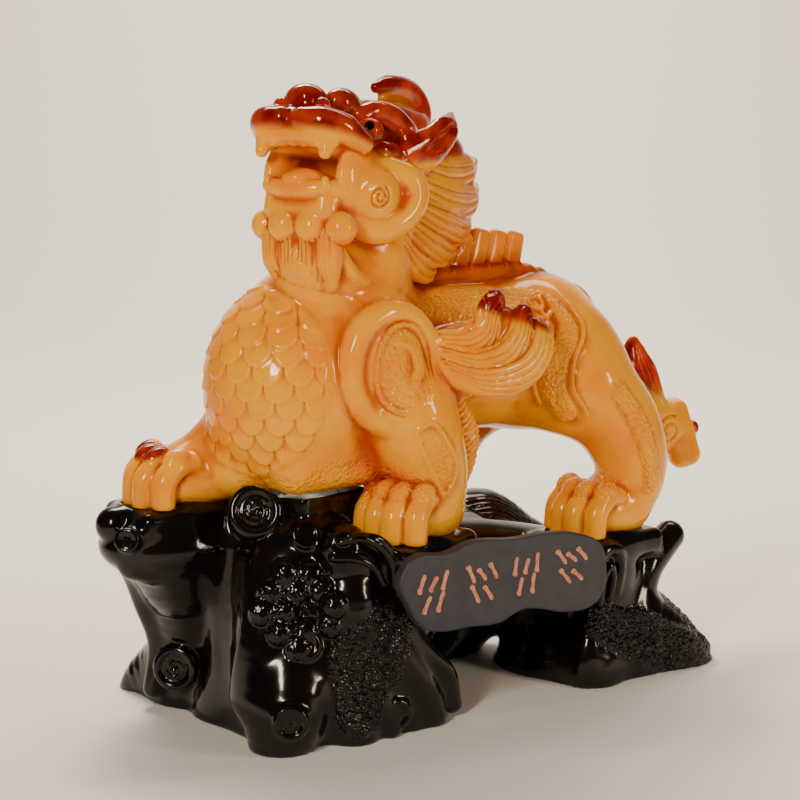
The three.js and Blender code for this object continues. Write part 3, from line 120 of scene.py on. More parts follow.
def egg(place, middle, radii, turns=(0, 0, 0)):
    centre, along_axes = own_axes(place, middle, turns)
    radii = np.array(radii, np.float32)

    def far(points, centres, ball):
        q = along_axes(points) / radii
        near = np.sqrt((q * q).sum(-1))
        slope = np.sqrt(((q / radii) ** 2).sum(-1))
        return np.where(slope > 1e-6, near * (near - 1) / np.maximum(slope, 1e-6), -radii.min())

    return Form(centre, float(radii.max()), far)


def block(place, middle, halves, rounding, turns=(0, 0, 0)):
    centre, along_axes = own_axes(place, middle, turns)
    inner = np.array(halves, np.float32) - rounding

    def far(points, centres, ball):
        q = np.abs(along_axes(points)) - inner
        out = np.sqrt((np.maximum(q, 0) ** 2).sum(-1))
        return out + np.minimum(q.max(-1), 0) - rounding

    return Form(centre, float(np.linalg.norm(halves)), far)


def drum(place, low, high, radius, rounding):
    """A round disc whose axis is the X of its frame, between two heights."""
    centre, along_axes = own_axes(place, ((low + high) / 2, 0, 0))
    half = (high - low) / 2 - rounding

    def far(points, centres, ball):
        q = along_axes(points)
        side = np.sqrt(q[..., 1] ** 2 + q[..., 2] ** 2) - radius + rounding
        end = np.abs(q[..., 0]) - half
        out = np.sqrt(np.maximum(side, 0) ** 2 + np.maximum(end, 0) ** 2)
        return out + np.minimum(np.maximum(side, end), 0) - rounding

    return Form(centre, math.hypot(radius, (high - low) / 2), far)


def smooth_path(stops, steps):
    """Points of a centripetal curve through the stops, with the share of the way at each."""
    stops = np.asarray(stops, float)
    count = (len(stops) - 1) * steps
    if len(stops) < 3:
        return stops, np.arange(2.0)
    ends = np.vstack([2 * stops[0] - stops[1], stops, 2 * stops[-1] - stops[-2]])
    path, along = [], []
    for i in range(count + 1):
        way = i / count * (len(stops) - 1)
        first = min(int(way), len(stops) - 2)
        t = way - first
        p0, p1, p2, p3 = ends[first:first + 4]
        d0, d1, d2 = (max(np.linalg.norm(b - a), 1e-6) ** 0.5 for a, b in ((p0, p1), (p1, p2), (p2, p3)))
        t1 = ((p1 - p0) / d0 - (p2 - p0) / (d0 + d1) + (p2 - p1) / d1) * d1
        t2 = ((p2 - p1) / d1 - (p3 - p1) / (d1 + d2) + (p3 - p2) / d2) * d1
        path.append(p1 + t1 * t + (3 * (p2 - p1) - 2 * t1 - t2) * t * t + (2 * (p1 - p2) + t1 + t2) * t ** 3)
        along.append(way)
    return np.array(path), np.array(along)


# A piece of a limb is skipped for blocks of points that lie farther off than this; they count as far
LIMB_CARE = 14.0
LIMB_FAR = 60.0


def limb(place, points, radii, flat=None, steps=5):
    """A limb through points with one radius, or a radius at each. flat is a direction and the
    thickness left along it, as a share of the radius: above 1 the limb reaches deeper that way."""
    path, along = smooth_path(placed(place, points), steps)
    radii = np.interp(along, np.arange(len(points)), np.broadcast_to(radii, len(points)))
    middle = (path.min(0) + path.max(0)) / 2
    swell = max(1.0, flat[1]) if flat else 1.0
    reach = np.linalg.norm(path - middle, axis=1).max() + radii.max() * swell
    squeeze, across = 1.0, np.array([0, 0, 1.0])
    if flat:
        across = place[:3, :3] @ np.array(flat[0], float)
        across /= np.linalg.norm(across)
        squeeze = 1 / flat[1]
    grow = squeeze - 1
    wide = path + np.outer(path @ across * grow, across)
    starts, ways = wide[:-1].astype(np.float32), np.diff(wide, axis=0).astype(np.float32)
    lengths = np.maximum((ways ** 2).sum(1), 1e-9)
    across = across.astype(np.float32)

    def far(points, centres, ball):
        best = np.full(points.shape[:-1], LIMB_FAR, np.float32)
        for i in range(len(starts)):
            near = slice(None)
            if ball is not None:
                gap = centres - path[i]
                stretch = path[i + 1] - path[i]
                t = np.clip(gap @ stretch / max(stretch @ stretch, 1e-9), 0, 1)
                away = np.linalg.norm(gap - t[:, None] * stretch, axis=1)
                near = np.nonzero(away < ball + max(radii[i], radii[i + 1]) * swell + LIMB_CARE)[0]
                if not len(near):
                    continue
            part = points[near]
            if grow:
                part = part + (part @ across * grow)[..., None] * across
            gap = part - starts[i]
            t = np.clip(gap @ ways[i] / lengths[i], 0, 1)
            gap -= t[..., None] * ways[i]
            length = np.sqrt((gap * gap).sum(-1))
            away = length - (radii[i] + (radii[i + 1] - radii[i]) * t)
            if grow:
                lean = (gap @ across) / np.maximum(length, 1e-6)
                away = away / np.sqrt(1 + (squeeze * squeeze - 1) * lean * lean)
            best[near] = np.minimum(best[near], away)
        return best

    return Form(middle, float(reach), far)


def winding(middle, first, second, start_radius, end_radius, turns, start=0, count=24):
    """Points of a ring, or of a spiral that winds inwards, in a plane through two directions."""
    share = np.arange(count + 1) / count
    angle = np.radians(start + turns * 360 * share)
    radius = start_radius + (end_radius - start_radius) * share
    return (np.asarray(middle, float) + np.outer(np.cos(angle) * radius, first)
            + np.outer(np.sin(angle) * radius, second))


def add(form, soft):
    """Joins a form, with a fillet so many millimetres soft."""
    return "add", form, soft, 0.0


def cut(form, soft):
    """Takes a form away, with an edge so many millimetres soft."""
    return "cut", form, soft, 0.0


def lift(form, height, soft):
    """Raises, or with a height below zero sinks, the skin inside a form."""
    return "lift", form, soft, height


def tool(form, height_at):
    """Raises the skin inside a form by a pattern: height_at(points, depth inside the form)."""
    return "tool", form, 0.0, height_at


def soft_least(a, b, soft):
    """The smaller of two distances, blended where they are nearly the same."""
    near = np.maximum(soft - np.abs(a - b), 0) / max(soft, 1e-6)
    return np.minimum(a, b) - near * near * soft / 4


# Where no form comes nearer than CARE to a block of points, they count as far away
FAR_AWAY = 40.0
CARE = 8.0


def carved(steps, centres, ball, points):
    """The carving's distance at blocks of points, step after step."""
    found = np.full(points.shape[:-1], FAR_AWAY, np.float32)
    for how, form, soft, height in steps:
        gap = np.linalg.norm(centres - form.middle, axis=1) - form.reach - ball
        near = np.nonzero(gap < (soft + CARE if how in ("add", "cut") else 0))[0]
        if not len(near):
            continue
        part = points[near]
        away = form.far(part, centres[near], ball)
        before = found[near]
        if how == "add":
            found[near] = soft_least(before, away, soft)
        elif how == "cut":
            found[near] = -soft_least(-before, away, soft)
        elif how == "lift":
            share = np.clip(-away / soft, 0, 1)
            found[near] = before - height * share * share * (3 - 2 * share)
        else:
            found[near] = before - np.where(away < 0, height(part, -away), 0)
    return found


# Blocks of samples are split so at each round; the slack keeps those a little off the skin too
SPLITS = (3, 2, 2)
SLACKS = (3.5, 3.0, 1.5)
NEARNESS = 1.2


def corner_grid(counts):
    """Whole-number places of a block of cells."""
    return np.stack(np.meshgrid(*[np.arange(n) for n in counts], indexing="ij"), -1).reshape(-1, 3)


def sampled(steps, cell):
    """Values on a fine grid near the skin only; everywhere else the grid holds no number."""
    adds = [form for how, form, soft, height in steps if how == "add"]
    low = np.min([form.middle - form.reach for form in adds], axis=0) - 2 * cell
    high = np.max([form.middle + form.reach for form in adds], axis=0) + 2 * cell
    unit = int(np.prod(SPLITS))
    counts = np.ceil((high - low) / (cell * unit)).astype(int)
    corners = corner_grid(counts) * unit
    for split, slack in zip(SPLITS, SLACKS):
        half = unit * cell / 2
        ball = half * math.sqrt(3)
        centres = low + corners * cell + half
        value = carved(steps, centres, ball, centres[:, None, :].astype(np.float32))[:, 0]
        corners = corners[np.abs(value) < NEARNESS * ball + slack]
        if split != SPLITS[-1]:
            unit //= split
            corners = (corners[:, None, :] + corner_grid((split,) * 3) * unit).reshape(-1, 3)
    ball = unit * cell / 2 * math.sqrt(3)
    nodes = corners[:, None, :] + corner_grid((unit,) * 3)
    centres = low + (corners + unit / 2) * cell
    values = carved(steps, centres, ball, (low + nodes * cell).astype(np.float32))
    grid = np.full(counts * int(np.prod(SPLITS)) + 1, np.nan, np.float32)
    grid[tuple(np.moveaxis(nodes, -1, 0))] = values
    return low, grid


def netted(low, grid, cell):
    """Corners and four-sided faces of the skin: one corner in each cell that the skin crosses."""
    shape = np.array(grid.shape)
    strides = np.array([shape[1] * shape[2], shape[2], 1])
    within = grid < 0
    known = ~np.isnan(grid)
    cells, spots = [], []
    for axis in range(3):
        here = [slice(1, -1)] * 3
        there = list(here)
        there[axis] = slice(2, None)
        here, there = tuple(here), tuple(there)
        crossed = np.argwhere((within[here] != within[there]) & known[here] & known[there]) + 1
        a = grid[tuple(crossed.T)]
        further = crossed + np.eye(3, dtype=int)[axis]
        b = grid[tuple(further.T)]
        place = crossed.astype(float)
        place[:, axis] += a / (a - b)
        first, second = (np.eye(3, dtype=int)[(axis + turn) % 3] for turn in (1, 2))
        ring = [crossed - first - second, crossed - second, crossed, crossed - first]
        ids = np.stack([corner @ strides for corner in ring], 1)
        ids[a > 0] = ids[a > 0][:, ::-1]
        cells.append(ids.ravel())
        spots.append(np.repeat(place, 4, axis=0))
    spots = np.concatenate(spots)
    number = np.unique(np.concatenate(cells), return_inverse=True)[1]
    count = np.bincount(number)
    middle = np.stack([np.bincount(number, spots[:, axis]) / count for axis in range(3)], 1)
    return largest_part(low + middle * cell, number.reshape(-1, 4))


def largest_part(corners, faces):
    """Leaves out loose crumbs: the part with the most corners stays."""
    label = np.arange(len(corners))
    pairs = np.concatenate([faces[:, [0, 1]], faces[:, [1, 2]], faces[:, [2, 3]], faces[:, [3, 0]]])
    while True:
        least = np.minimum(label[pairs[:, 0]], label[pairs[:, 1]])
        before = label.copy()
        np.minimum.at(label, pairs[:, 0], least)
        np.minimum.at(label, pairs[:, 1], least)
        label = label[label]
        if np.array_equal(before, label):
            break
    names, sizes = np.unique(label, return_counts=True)
    kept = label == names[sizes.argmax()]
    number = np.cumsum(kept) - 1
    return corners[kept], number[faces[kept[faces[:, 0]]]]


def outward(corners, faces):
    """A unit normal at each corner, from the faces round it."""
    a, b, c, d = (corners[faces[:, turn]] for turn in range(4))
    across = np.cross(c - a, d - b)
    normals = np.stack([np.bincount(faces.ravel(), np.repeat(across[:, axis], 4), len(corners))
                        for axis in range(3)], 1)
    return normals / np.maximum(np.linalg.norm(normals, axis=1), 1e-12)[:, None]


def on_skin(steps, corners, faces, cell):
    """Moves each corner along its normal onto the carving's own skin."""
    value = carved(steps, corners, 0.0, corners[:, None, :].astype(np.float32))[:, 0]
    return corners + outward(corners, faces) * -np.clip(value, -cell, cell)[:, None]


def put(name, data):
    """Adds an object to the scene."""
    piece = bpy.data.objects.new(name, data)
    bpy.context.scene.collection.objects.link(piece)
    return piece


def skin_mesh(name, steps, cell, most_triangles):
    """Mesh object of a carving, folded down to a number of triangles."""
    low, grid = sampled(steps, cell)
    corners, faces = netted(low, grid, cell)
    corners = on_skin(steps, corners, faces, cell)
    mesh = bpy.data.meshes.new(name)
    mesh.vertices.add(len(corners))
    mesh.vertices.foreach_set("co", ((corners + SHIFT) * MM).astype(np.float32).ravel())
    mesh.loops.add(faces.size)
    mesh.loops.foreach_set("vertex_index", faces.astype(np.int32).ravel())
    mesh.polygons.add(len(faces))
    mesh.polygons.foreach_set("loop_start", np.arange(0, faces.size, 4, dtype=np.int32))
    mesh.update(calc_edges=True)
    piece = put(name, mesh)
    if 2 * len(faces) > most_triangles:
        thin = piece.modifiers.new("Fewer faces", "DECIMATE")
        thin.ratio = most_triangles / (2 * len(faces))
        thin.use_collapse_triangulate = True
        apply_modifiers(piece)
    piece.data.shade_smooth()
    return piece


def apply_modifiers(piece):
    """Leaves the mesh as its modifiers make it, with no modifier on it."""
    graph = bpy.context.evaluated_depsgraph_get()
    finished = bpy.data.meshes.new_from_object(piece.evaluated_get(graph))
    piece.modifiers.clear()
    old = piece.data
    piece.data = finished
    bpy.data.meshes.remove(old)


# The figure, in millimetres; HEAD's own axes are forward, left and up

HEAD = looking_frame([-30, 0, 318.3], 205, 12)
PAWS = {
    "front_far": ((-120, 43, 132.3), 181),
    "front_near": ((-13, -39, 113.3), 200),
    "hind_near": ((138, -38, 94.3), 184),
    "hind_far": ((50, 42, 100.3), 180),
}
SIDES = (1, -1)
TOE_PITCH = 11.6
TOE_REACH = 38
TOE_FALL = 3.2
SOLE_GAP = 0.3
LIFT = shifted((0, 0, SOLE_GAP))
TAIL_RADIUS = 24
TAIL_HALF = 11
TAIL_SIDE = 11.5
TAIL = looking_frame((231, -2, 139.3), -30, 17.5)
TAIL_FACE = LIFT @ TAIL @ shifted((TAIL_HALF, 0, 0))


def mark(place, points, radii, height, soft, steps=5):
    """A line drawn on a flank, five times as deep as wide: a ridge, or a groove below zero."""
    return lift(limb(place, points, radii, ((0, 1, 0), 5), steps), height, soft)


def both(make):
    """Steps of the left side, then of the right side."""
    return make(SIDES[0]) + make(SIDES[1])


def body_steps():
    """Chest like a ball, shoulders, back, rump and neck."""
    return [
        add(egg(LIFT, (-78, 0, 202), (50, 50, 60)), 1),
        add(egg(LIFT, (-38, 0, 214), (48, 45, 44)), 18),
        add(limb(LIFT, [(-30, 0, 210), (30, 0, 209), (88, 0, 206)], [44, 46, 46], ((0, 1, 0), 0.88)), 18),
        add(egg(LIFT, (106, 0, 208), (47, 42, 48)), 18),
        add(limb(LIFT, [(-52, 0, 240), (-36, -1, 266), (-28, -2, 300)], [42, 36, 33]), 14),
        add(block(LIFT, (-57, 0, 171), (46, 38, 29), 14), 9),
        add(egg(LIFT, (-94, 16, 152), (26, 24, 19)), 8),
        add(egg(HEAD, (30, 0, -52), (30, 24, 26)), 14),
    ]


CHEST_MIDDLE = np.array([-74, 0, 200])
CHEST_RADIUS = 52
SCALE_PITCH = 9.6
SCALE_WIDTH = 16.5
SCALE_RISE = 1.7
SCALE_STRETCH = 1.25
SCALE_EDGE = 0.9
SCALE_BED = 0.15
RIM_PLACE, RIM_WIDTH, RIM_RISE = 0.84, 0.1, 0.25
VEIN_COUNT, VEIN_END, VEIN_RISE = 34, 0.75, 0.1


def chest_spot(points):
    """How far round the chest and how far up it a point lies, in millimetres and radians."""
    gap = points - CHEST_MIDDLE
    flat = np.hypot(gap[..., 0], gap[..., 1])
    return np.arctan2(gap[..., 1], -gap[..., 0]), np.arctan2(gap[..., 2], flat) * CHEST_RADIUS


def scale_height(points, depth):
    """Rows of round scales like roof tiles: each row lies over the row below it."""
    turn, up = chest_spot(points)
    row = np.floor(up / SCALE_PITCH)
    half = SCALE_WIDTH / 2
    height = np.zeros(turn.shape)
    for step in (-1, 0, 1, 2):
        line = row + step
        girth = CHEST_RADIUS * np.maximum(np.cos(line * SCALE_PITCH / CHEST_RADIUS), 0.3)
        around = np.maximum(np.round(2 * np.pi * girth / SCALE_WIDTH), 1)
        along = turn / (2 * np.pi) * around + 0.5 * np.mod(line, 2)
        side = (along - np.round(along)) * SCALE_WIDTH
        rise = up - line * SCALE_PITCH
        reach = np.hypot(side, rise / SCALE_STRETCH) / half
        edge = np.clip((1.0 - reach) * half / SCALE_EDGE, 0, 1)
        rim = RIM_RISE * np.clip(1 - np.abs(reach - RIM_PLACE) / RIM_WIDTH, 0, 1)
        ribs = VEIN_RISE * np.cos(np.arctan2(side, half + rise) * VEIN_COUNT)
        veins = ribs * np.clip(1 - reach / VEIN_END, 0, 1)
        tile = SCALE_RISE * (0.5 - 0.5 * rise / half) + rim + veins
        height = height + edge * (np.maximum(tile, SCALE_BED) - height)
    return height * np.clip(depth / 2, 0, 1)


def chest_steps():
    """Scales over the front of the chest, between the legs and up to the beard."""
    front = egg(LIFT, (-100, -3, 206), (46, 52, 56))
    return [tool(front, scale_height)]


def leg_steps():
    """Front legs with an oval shoulder, hind legs with a full haunch."""
    return [
        add(egg(LIFT, (-41, -31, 215), (35, 30, 42)), 8),
        add(egg(LIFT, (-52, 32, 213), (35, 28, 42)), 10),
        add(limb(LIFT, [(-24, -39, 190), (-17, -45, 168), (-9, -46, 148), (-9, -43, 130)],
                 [30, 26, 21, 21]), 10),
        add(limb(LIFT, [(-76, 30, 182), (-94, 37, 164), (-112, 42, 151), (-122, 43, 146)],
                 [28, 25, 21, 19]), 14),
        add(egg(LIFT, (112, -28, 196), (40, 26, 40)), 12),
        add(limb(LIFT, [(122, -32, 186), (141, -40, 162), (150, -43, 141), (152, -42, 124), (147, -40, 112)],
                 [31, 27, 24, 21.5, 20]), 10),
        add(egg(LIFT, (99, 26, 197), (39, 26, 38)), 12),
        add(limb(LIFT, [(90, 30, 182), (74, 37, 158), (60, 41, 132), (51, 42, 114)], [28, 20, 18, 18]), 10),
    ]


def paw_steps(ankle, heading):
    """Four tall toes fan round the front of a paw, with a knuckle on top of each."""
    paw = looking_frame(ankle, heading)
    steps = [add(egg(paw, (4, 0, 12), (30, 23, 21)), 8)]
    for across in (np.arange(4) - 1.5) * TOE_PITCH:
        front = TOE_REACH - TOE_FALL * (across / TOE_PITCH) ** 2
        steps += [
            add(limb(paw, [(front - 27, across * 0.75, 21), (front - 13, across * 0.92, 24),
                           (front - 2, across, 16), (front, across * 1.04, 3)], [7.2, 7.2, 7.4, 7]), 1.2),
            add(egg(paw, (front - 10, across * 0.97, 28), (9, 6.4, 6.2), (0, 20, 0)), 1.0),
        ]
    return steps


FRINGE_TOP = 194
FRINGE_PITCH = 3.9
FRINGE_LINES = 16
CRESCENT = [(-34, -67, 181), (-26, -70, 184), (-16, -71, 172), (-8, -69, 156), (-12, -66, 140)]


def fringe_steps():
    """A thin combed fringe behind the near front leg, and a furred crescent in front of it."""
    steps = [
        add(limb(LIFT, [(4, -50, 189), (11, -52, 172), (11, -50, 154), (7, -47, 134)],
                 [6, 9.5, 9, 5], ((0, 1, 0), 0.45)), 1.5),
        mark(LIFT, CRESCENT, [2.4, 2.4, 2.4, 2.4, 2], 1.6, 2.4),
        mark(LIFT, [(-35, -66, 178), (-29, -67, 162), (-15, -65, 140)], 2, 1.2, 2),
    ]
    for z in FRINGE_TOP - np.arange(FRINGE_LINES) * FRINGE_PITCH:
        groove = [(3, -56, z - 7), (12, -56, z - 2), (23, -54, z + 6)]
        steps.append(mark(LIFT, groove, [1.3, 1.4, 1.3], -1.1, 1.3))
    return steps


SHOULDER = (-41, -50, 215)
COMMA = [(-40, -58, 230), (-32, -58, 226), (-29, -58, 216), (-33, -58, 207), (-30, -58, 199)]


def shoulder_steps():
    """Rolled rim round the shoulder, a finer oval inside it and a comma on the cushion."""
    rim = winding(SHOULDER, (27, 0, -3), (2, 0, 32), 1, 1, 1)
    steps = [
        add(limb(LIFT, rim, 7.5, None, 1), 3),
        add(egg(LIFT, (-39, -46, 215), (23, 14, 30)), 2),
    ]
    for reach in (1.0, 0.84):
        inner = winding((-38, -56, 215), (19.5, 1, -1), (2, 0, 27), reach, reach, 1)
        steps.append(mark(LIFT, inner, 1.7, -1.0, 1.7, 1))
    return steps + [lift(limb(LIFT, COMMA, [2.5, 5, 5.5, 4, 2], ((0, 1, 0), 3)), 1.6, 3)]


BAND = [(92, -33, 241), (95, -45, 226), (84, -47, 208), (82, -46, 192), (93, -52, 172)]
REAR_FUR = [(122, -66, 187), (134, -68, 170), (144, -67, 148), (151, -64, 124)]


def haunch_steps():
    """Curl and flowing band on the haunch, and the furred edge behind the hind leg."""
    curl = winding((82, -36, 243), (1, 0, 0), (0, 0, 1), 9.5, 2.5, 1.4, 250, 30)
    steps = [
        mark(LIFT, curl, 2, 1.6, 2, 1),
        lift(limb(LIFT, BAND, [5, 7.5, 8, 8, 6], ((0, 1, 0), 3)), 2.0, 3),
        lift(limb(LIFT, REAR_FUR, [7, 7.5, 7, 6], ((0, 1, 0), 3)), 1.8, 3),
    ]
    for beside in (-11, 11):
        edge = [(x + beside, y, z) for x, y, z in BAND]
        steps.append(mark(LIFT, edge, [1.8, 2.2, 2.4, 2.2, 1.8], 1.6, 2))
    return steps


WING_COMB = np.linspace(-0.72, 0.72, 5)
FEATHERS = (
    (((-8, 54, 227), (7, 60, 226), (16, 64, 233), (19, 64, 245), (26, 60, 250), (33, 56, 247)),
     (8, 9, 9, 9, 7, 4)),
    (((-8, 55, 220), (10, 64, 214), (27, 67, 217), (38, 67, 227), (44, 63, 239), (49, 58, 241)),
     (8, 10, 10, 9, 8, 5)),
    (((-8, 56, 213), (8, 66, 206), (28, 69, 205), (46, 69, 211), (55, 67, 223), (57, 61, 232)),
     (8, 10, 11, 11, 10, 6)),
)


def wing_steps(side):
    """A shell of three broad feathers that sweep back and curl up at their ends."""
    steps = [
        add(egg(LIFT, (20, side * 46, 214), (36, 17, 22)), 8),
        add(egg(LIFT, (30, side * 59, 222), (30, 8, 24)), 2),
    ]
    for points, radii in FEATHERS:
        line = np.array(points) * (1, side, 1)
        steps.append(add(limb(LIFT, line, radii, ((0, 1, 0), 0.5)), 1.2))
        for share in WING_COMB:
            groove = line + np.outer(radii, (share * 0.7, 0, -share)) + (0, side * 4, 0)
            steps.append(mark(LIFT, groove, 1.2, -1.0, 1.2))
    return steps


FIN_PLATES = 8
FIN_PITCH = 13.6
FIN_TALLEST = 5
FIN_RISE = 27
FIN_FALL = 1.5
FIN_START = -10
FIN_FOOT = 257


def fin_steps():
    """A ridge with a row of rounded plates, then scutes down the rump."""
    steps = [add(limb(LIFT, [(-14, 0, 262), (30, 0, 258), (84, 0, 259), (106, 0, 255)], [8, 7, 6.5, 3.5]), 5)]
    for plate in range(FIN_PLATES):
        x = FIN_START + plate * FIN_PITCH
        rise = FIN_RISE - FIN_FALL * abs(plate - FIN_TALLEST)
        tongue = (x, 0, FIN_FOOT + rise / 2)
        steps.append(add(block(LIFT, tongue, (FIN_PITCH / 2 - 0.2, 3.4, rise / 2 + 3), 3.2, (0, 14, 0)), 0.8))
        edge = [(x + FIN_PITCH * 0.3 + 8 * share, 0, FIN_FOOT + rise * share) for share in (0.2, 0.6, 0.96)]
        steps.append(mark(LIFT, edge, [1.8, 2.2, 2.6], 0.9, 1.6))
    return steps + [
        add(egg(LIFT, (98, 0, 258), (8, 6, 5), (0, 20, 0)), 1.2),
        add(egg(LIFT, (108, 0, 256), (6, 5, 4), (0, 20, 0)), 1.2),
        add(egg(LIFT, (142, 0, 237), (14, 9, 6), (0, 48, 0)), 1.2),
        add(egg(LIFT, (154, 0, 221), (13, 8, 5.5), (0, 62, 0)), 1.2),
        add(egg(LIFT, (162, 0, 200), (9, 11, 14), (0, -6, 0)), 1.5),
    ]


FLAME = ((202, 0, 162), (197, 0, 180), (191, 0, 194), (190, 0, 203))
FLAME_RADII = (17, 15, 11, 6)
FLAME_COMB = (-0.1, 0.2, 0.5, 0.8)


def tail_steps():
    """A thick stem, a flame on top of it and a disc that carries the stone."""
    steps = [
        add(limb(LIFT, [(144, 0, 204), (167, 0, 184), (191, 0, 165), (212, 0, 151), (222, -1, 145)],
                 [19, 17, 15, 14, 13]), 7),
        add(limb(LIFT, FLAME, FLAME_RADII, ((0, 1, 0), 0.5)), 1.5),
        add(egg(LIFT, (213, -1, 144), (15, TAIL_SIDE, 20)), 4),
        add(block(TAIL, (0, 0, 0), (TAIL_HALF, TAIL_SIDE, TAIL_RADIUS), 8), 3),
    ]
    for across in FLAME_COMB:
        groove = [(x + across * wide, -5, z) for (x, y, z), wide in zip(FLAME, FLAME_RADII)]
        steps.append(mark(LIFT, groove, [1.4, 1.4, 1.3, 1], -1.1, 1.4))
    curl = winding((213, -10, 144), (1, 0, 0), (0, 0, 1), 11, 3, 1.5, 60, 30)
    return steps + [mark(LIFT, curl, 1.6, -1.3, 1.6, 1)]


def skull_steps():
    """Skull, muzzle, cheeks and an open mouth with a tongue."""
    steps = [
        add(egg(HEAD, (-14, 0, 14), (46, 33, 31)), 10),
        add(block(HEAD, (46, 0, 19), (34, 26, 13), 11), 7),
        add(block(HEAD, (36, 0, -24), (30, 24, 11), 9, (0, -4, 0)), 7),
    ]
    steps += [add(egg(HEAD, (36, side * 24, -4), (24, 9, 22)), 6) for side in SIDES]
    return steps + [
        cut(limb(HEAD, [(86, 0, -1), (66, 0, -1), (54, 0, -2)], [16, 12, 7], ((0, 0, 1), 0.72)), 4),
        cut(block(HEAD, (88, 0, -1), (26, 20, 9), 7), 4),
        add(limb(HEAD, [(40, 0, -9), (56, 0, -8), (64, 0, -9)], [14, 13, 9], ((0, 0, 1), 0.5)), 2),
        add(limb(HEAD, [(44, 24, -13), (60, 19, -13), (67, 0, -15), (60, -19, -13), (44, -24, -13)],
                 [5.5, 5, 4.6, 5, 5.5]), 2),
        lift(limb(HEAD, [(34, 0, -7), (52, 0, -4), (62, 0, -5)], [1.6, 2, 1.4]), -1.2, 1.8),
    ]


TEETH = np.linspace(-13, 13, 5)


def muzzle_steps():
    """Swollen lips under a round nose, with fangs and small teeth."""
    steps = [add(egg(HEAD, (64, 0, 36), (11, 12.5, 9)), 1.5)]
    for side in SIDES:
        steps += [
            add(egg(HEAD, (68, side * 13.5, 32), (5, 4.5, 4.5)), 1),
            add(egg(HEAD, (42, side * 10, 38), (13, 9.5, 9)), 1.5),
            add(limb(HEAD, [(77, side * 7, 23), (74, side * 19, 22), (63, side * 26, 20),
                            (48, side * 30, 15)], [6.5, 8, 8.5, 6]), 1.5),
            add(limb(HEAD, [(69, side * 20.5, 14), (72, side * 21, 5)], [6.6, 3.6]), 2.5),
            add(limb(HEAD, [(65, side * 19, -13), (66, side * 19, -9)], [3.4, 2.2]), 1.5),
        ]
    return steps + [add(egg(HEAD, (72, across, 11.5), (2.6, 3.2, 3.4)), 2) for across in TEETH]


BEARD_COMB = (-0.6, -0.2, 0.2, 0.6)


def chin_steps():
    """Round chin curls with a beard of locks under them."""
    steps = []
    for across, radius in ((-25, 9), (-9, 10.5), (9, 10.5), (25, 9.5)):
        middle = (60 - abs(across) * 0.25, across, -34)
        steps.append(add(egg(HEAD, middle, (radius, radius * 0.95, radius)), 2))
    for across in (-18, -6, 6, 18):
        lock = np.array([(54, across, -40), (51, across, -53), (44, across * 0.9, -64)])
        steps.append(add(limb(HEAD, lock, [8, 7.5, 4.5]), 1.2))
        for share in BEARD_COMB:
            line = lock + (3, share * 7, 0)
            steps.append(lift(limb(HEAD, line, [1.2, 1.2, 1], ((1, 0, 0), 6)), -0.9, 1.2))
    for side in SIDES:
        whisker = [(50, side * 19, -42), (38, side * 22, -54), (24, side * 23, -60), (14, side * 24, -58)]
        steps.append(add(limb(HEAD, whisker, [4.5, 4.5, 4.5, 3.5]), 1.2))
    return steps


def brow_steps():
    """Bulging eyes under rolled brows, a crest between them and one curled horn."""
    steps = [add(limb(HEAD, [(24, 0, 36), (0, 0, 38), (-30, 0, 42), (-52, 0, 43)], [9, 11, 12, 12]), 3)]
    for side in SIDES:
        steps += [
            add(egg(HEAD, (34, side * 25, 24), (8.5, 8, 8)), 1.0),
            add(egg(HEAD, (20, side * 29, 15), (13, 7, 6.5)), 1.5),
            add(limb(HEAD, [(37, side * 19, 33), (27, side * 23, 37), (12, side * 26, 36), (0, side * 29, 30),
                            (4, side * 32, 26)], [4.5, 6, 7, 6.5, 6.5]), 1.2),
        ]
    return steps + [
        add(limb(HEAD, [(-58, 0, 42), (-61, 0, 54), (-52, 0, 62), (-37, 0, 64), (-21, 0, 62), (-9, 0, 58)],
                 [10, 8.5, 7.5, 7, 6, 3.5]), 3),
        add(egg(HEAD, (-35, 0, 54), (22, 4.5, 9)), 1.5),
    ]


def ear_steps(side):
    """A leaf-shaped ear with a hollow, and a round lobe behind it."""
    out = (0.35, side * 0.86, -0.36)
    return [
        add(limb(HEAD, [(6, side * 33, 13), (-8, side * 38, 21), (-21, side * 41, 33), (-31, side * 40, 46)],
                 [10, 13.5, 11, 2.5], (out, 0.5)), 1.2),
        cut(limb(HEAD, [(-4, side * 46, 20), (-14, side * 49, 28), (-24, side * 48, 38)],
                 [3.5, 6.5, 3], (out, 0.9)), 1),
        add(egg(HEAD, (-50, side * 25, 27), (22, 12, 14)), 2),
    ]


CHEEK_ROLL = (
    (44, 7), (30, 6), (17, 3), (9, 0), (6, -8), (9, -18), (17, -26), (27, -30), (36, -27), (43, -20),
)


def cheek_steps(side):
    """The cheek's roll winds round a small curl, on a plane that looks forward and out."""
    roll = [(ahead, side * (44 - 0.577 * ahead), up) for ahead, up in CHEEK_ROLL]
    curl = winding((36, side * 38, -13), (0.9, -side * 0.43, 0), (0, 0, 1), 7, 1.4, 1.8, 120, 24)
    return [
        add(egg(HEAD, (24, side * 27, -11), (22, 14, 19)), 5),
        add(limb(HEAD, roll, [4, 7, 9, 10, 10, 10, 10, 9, 7, 4], None, 3), 3),
        mark(HEAD, curl, 1.5, -1.8, 1.3, 1),
    ]


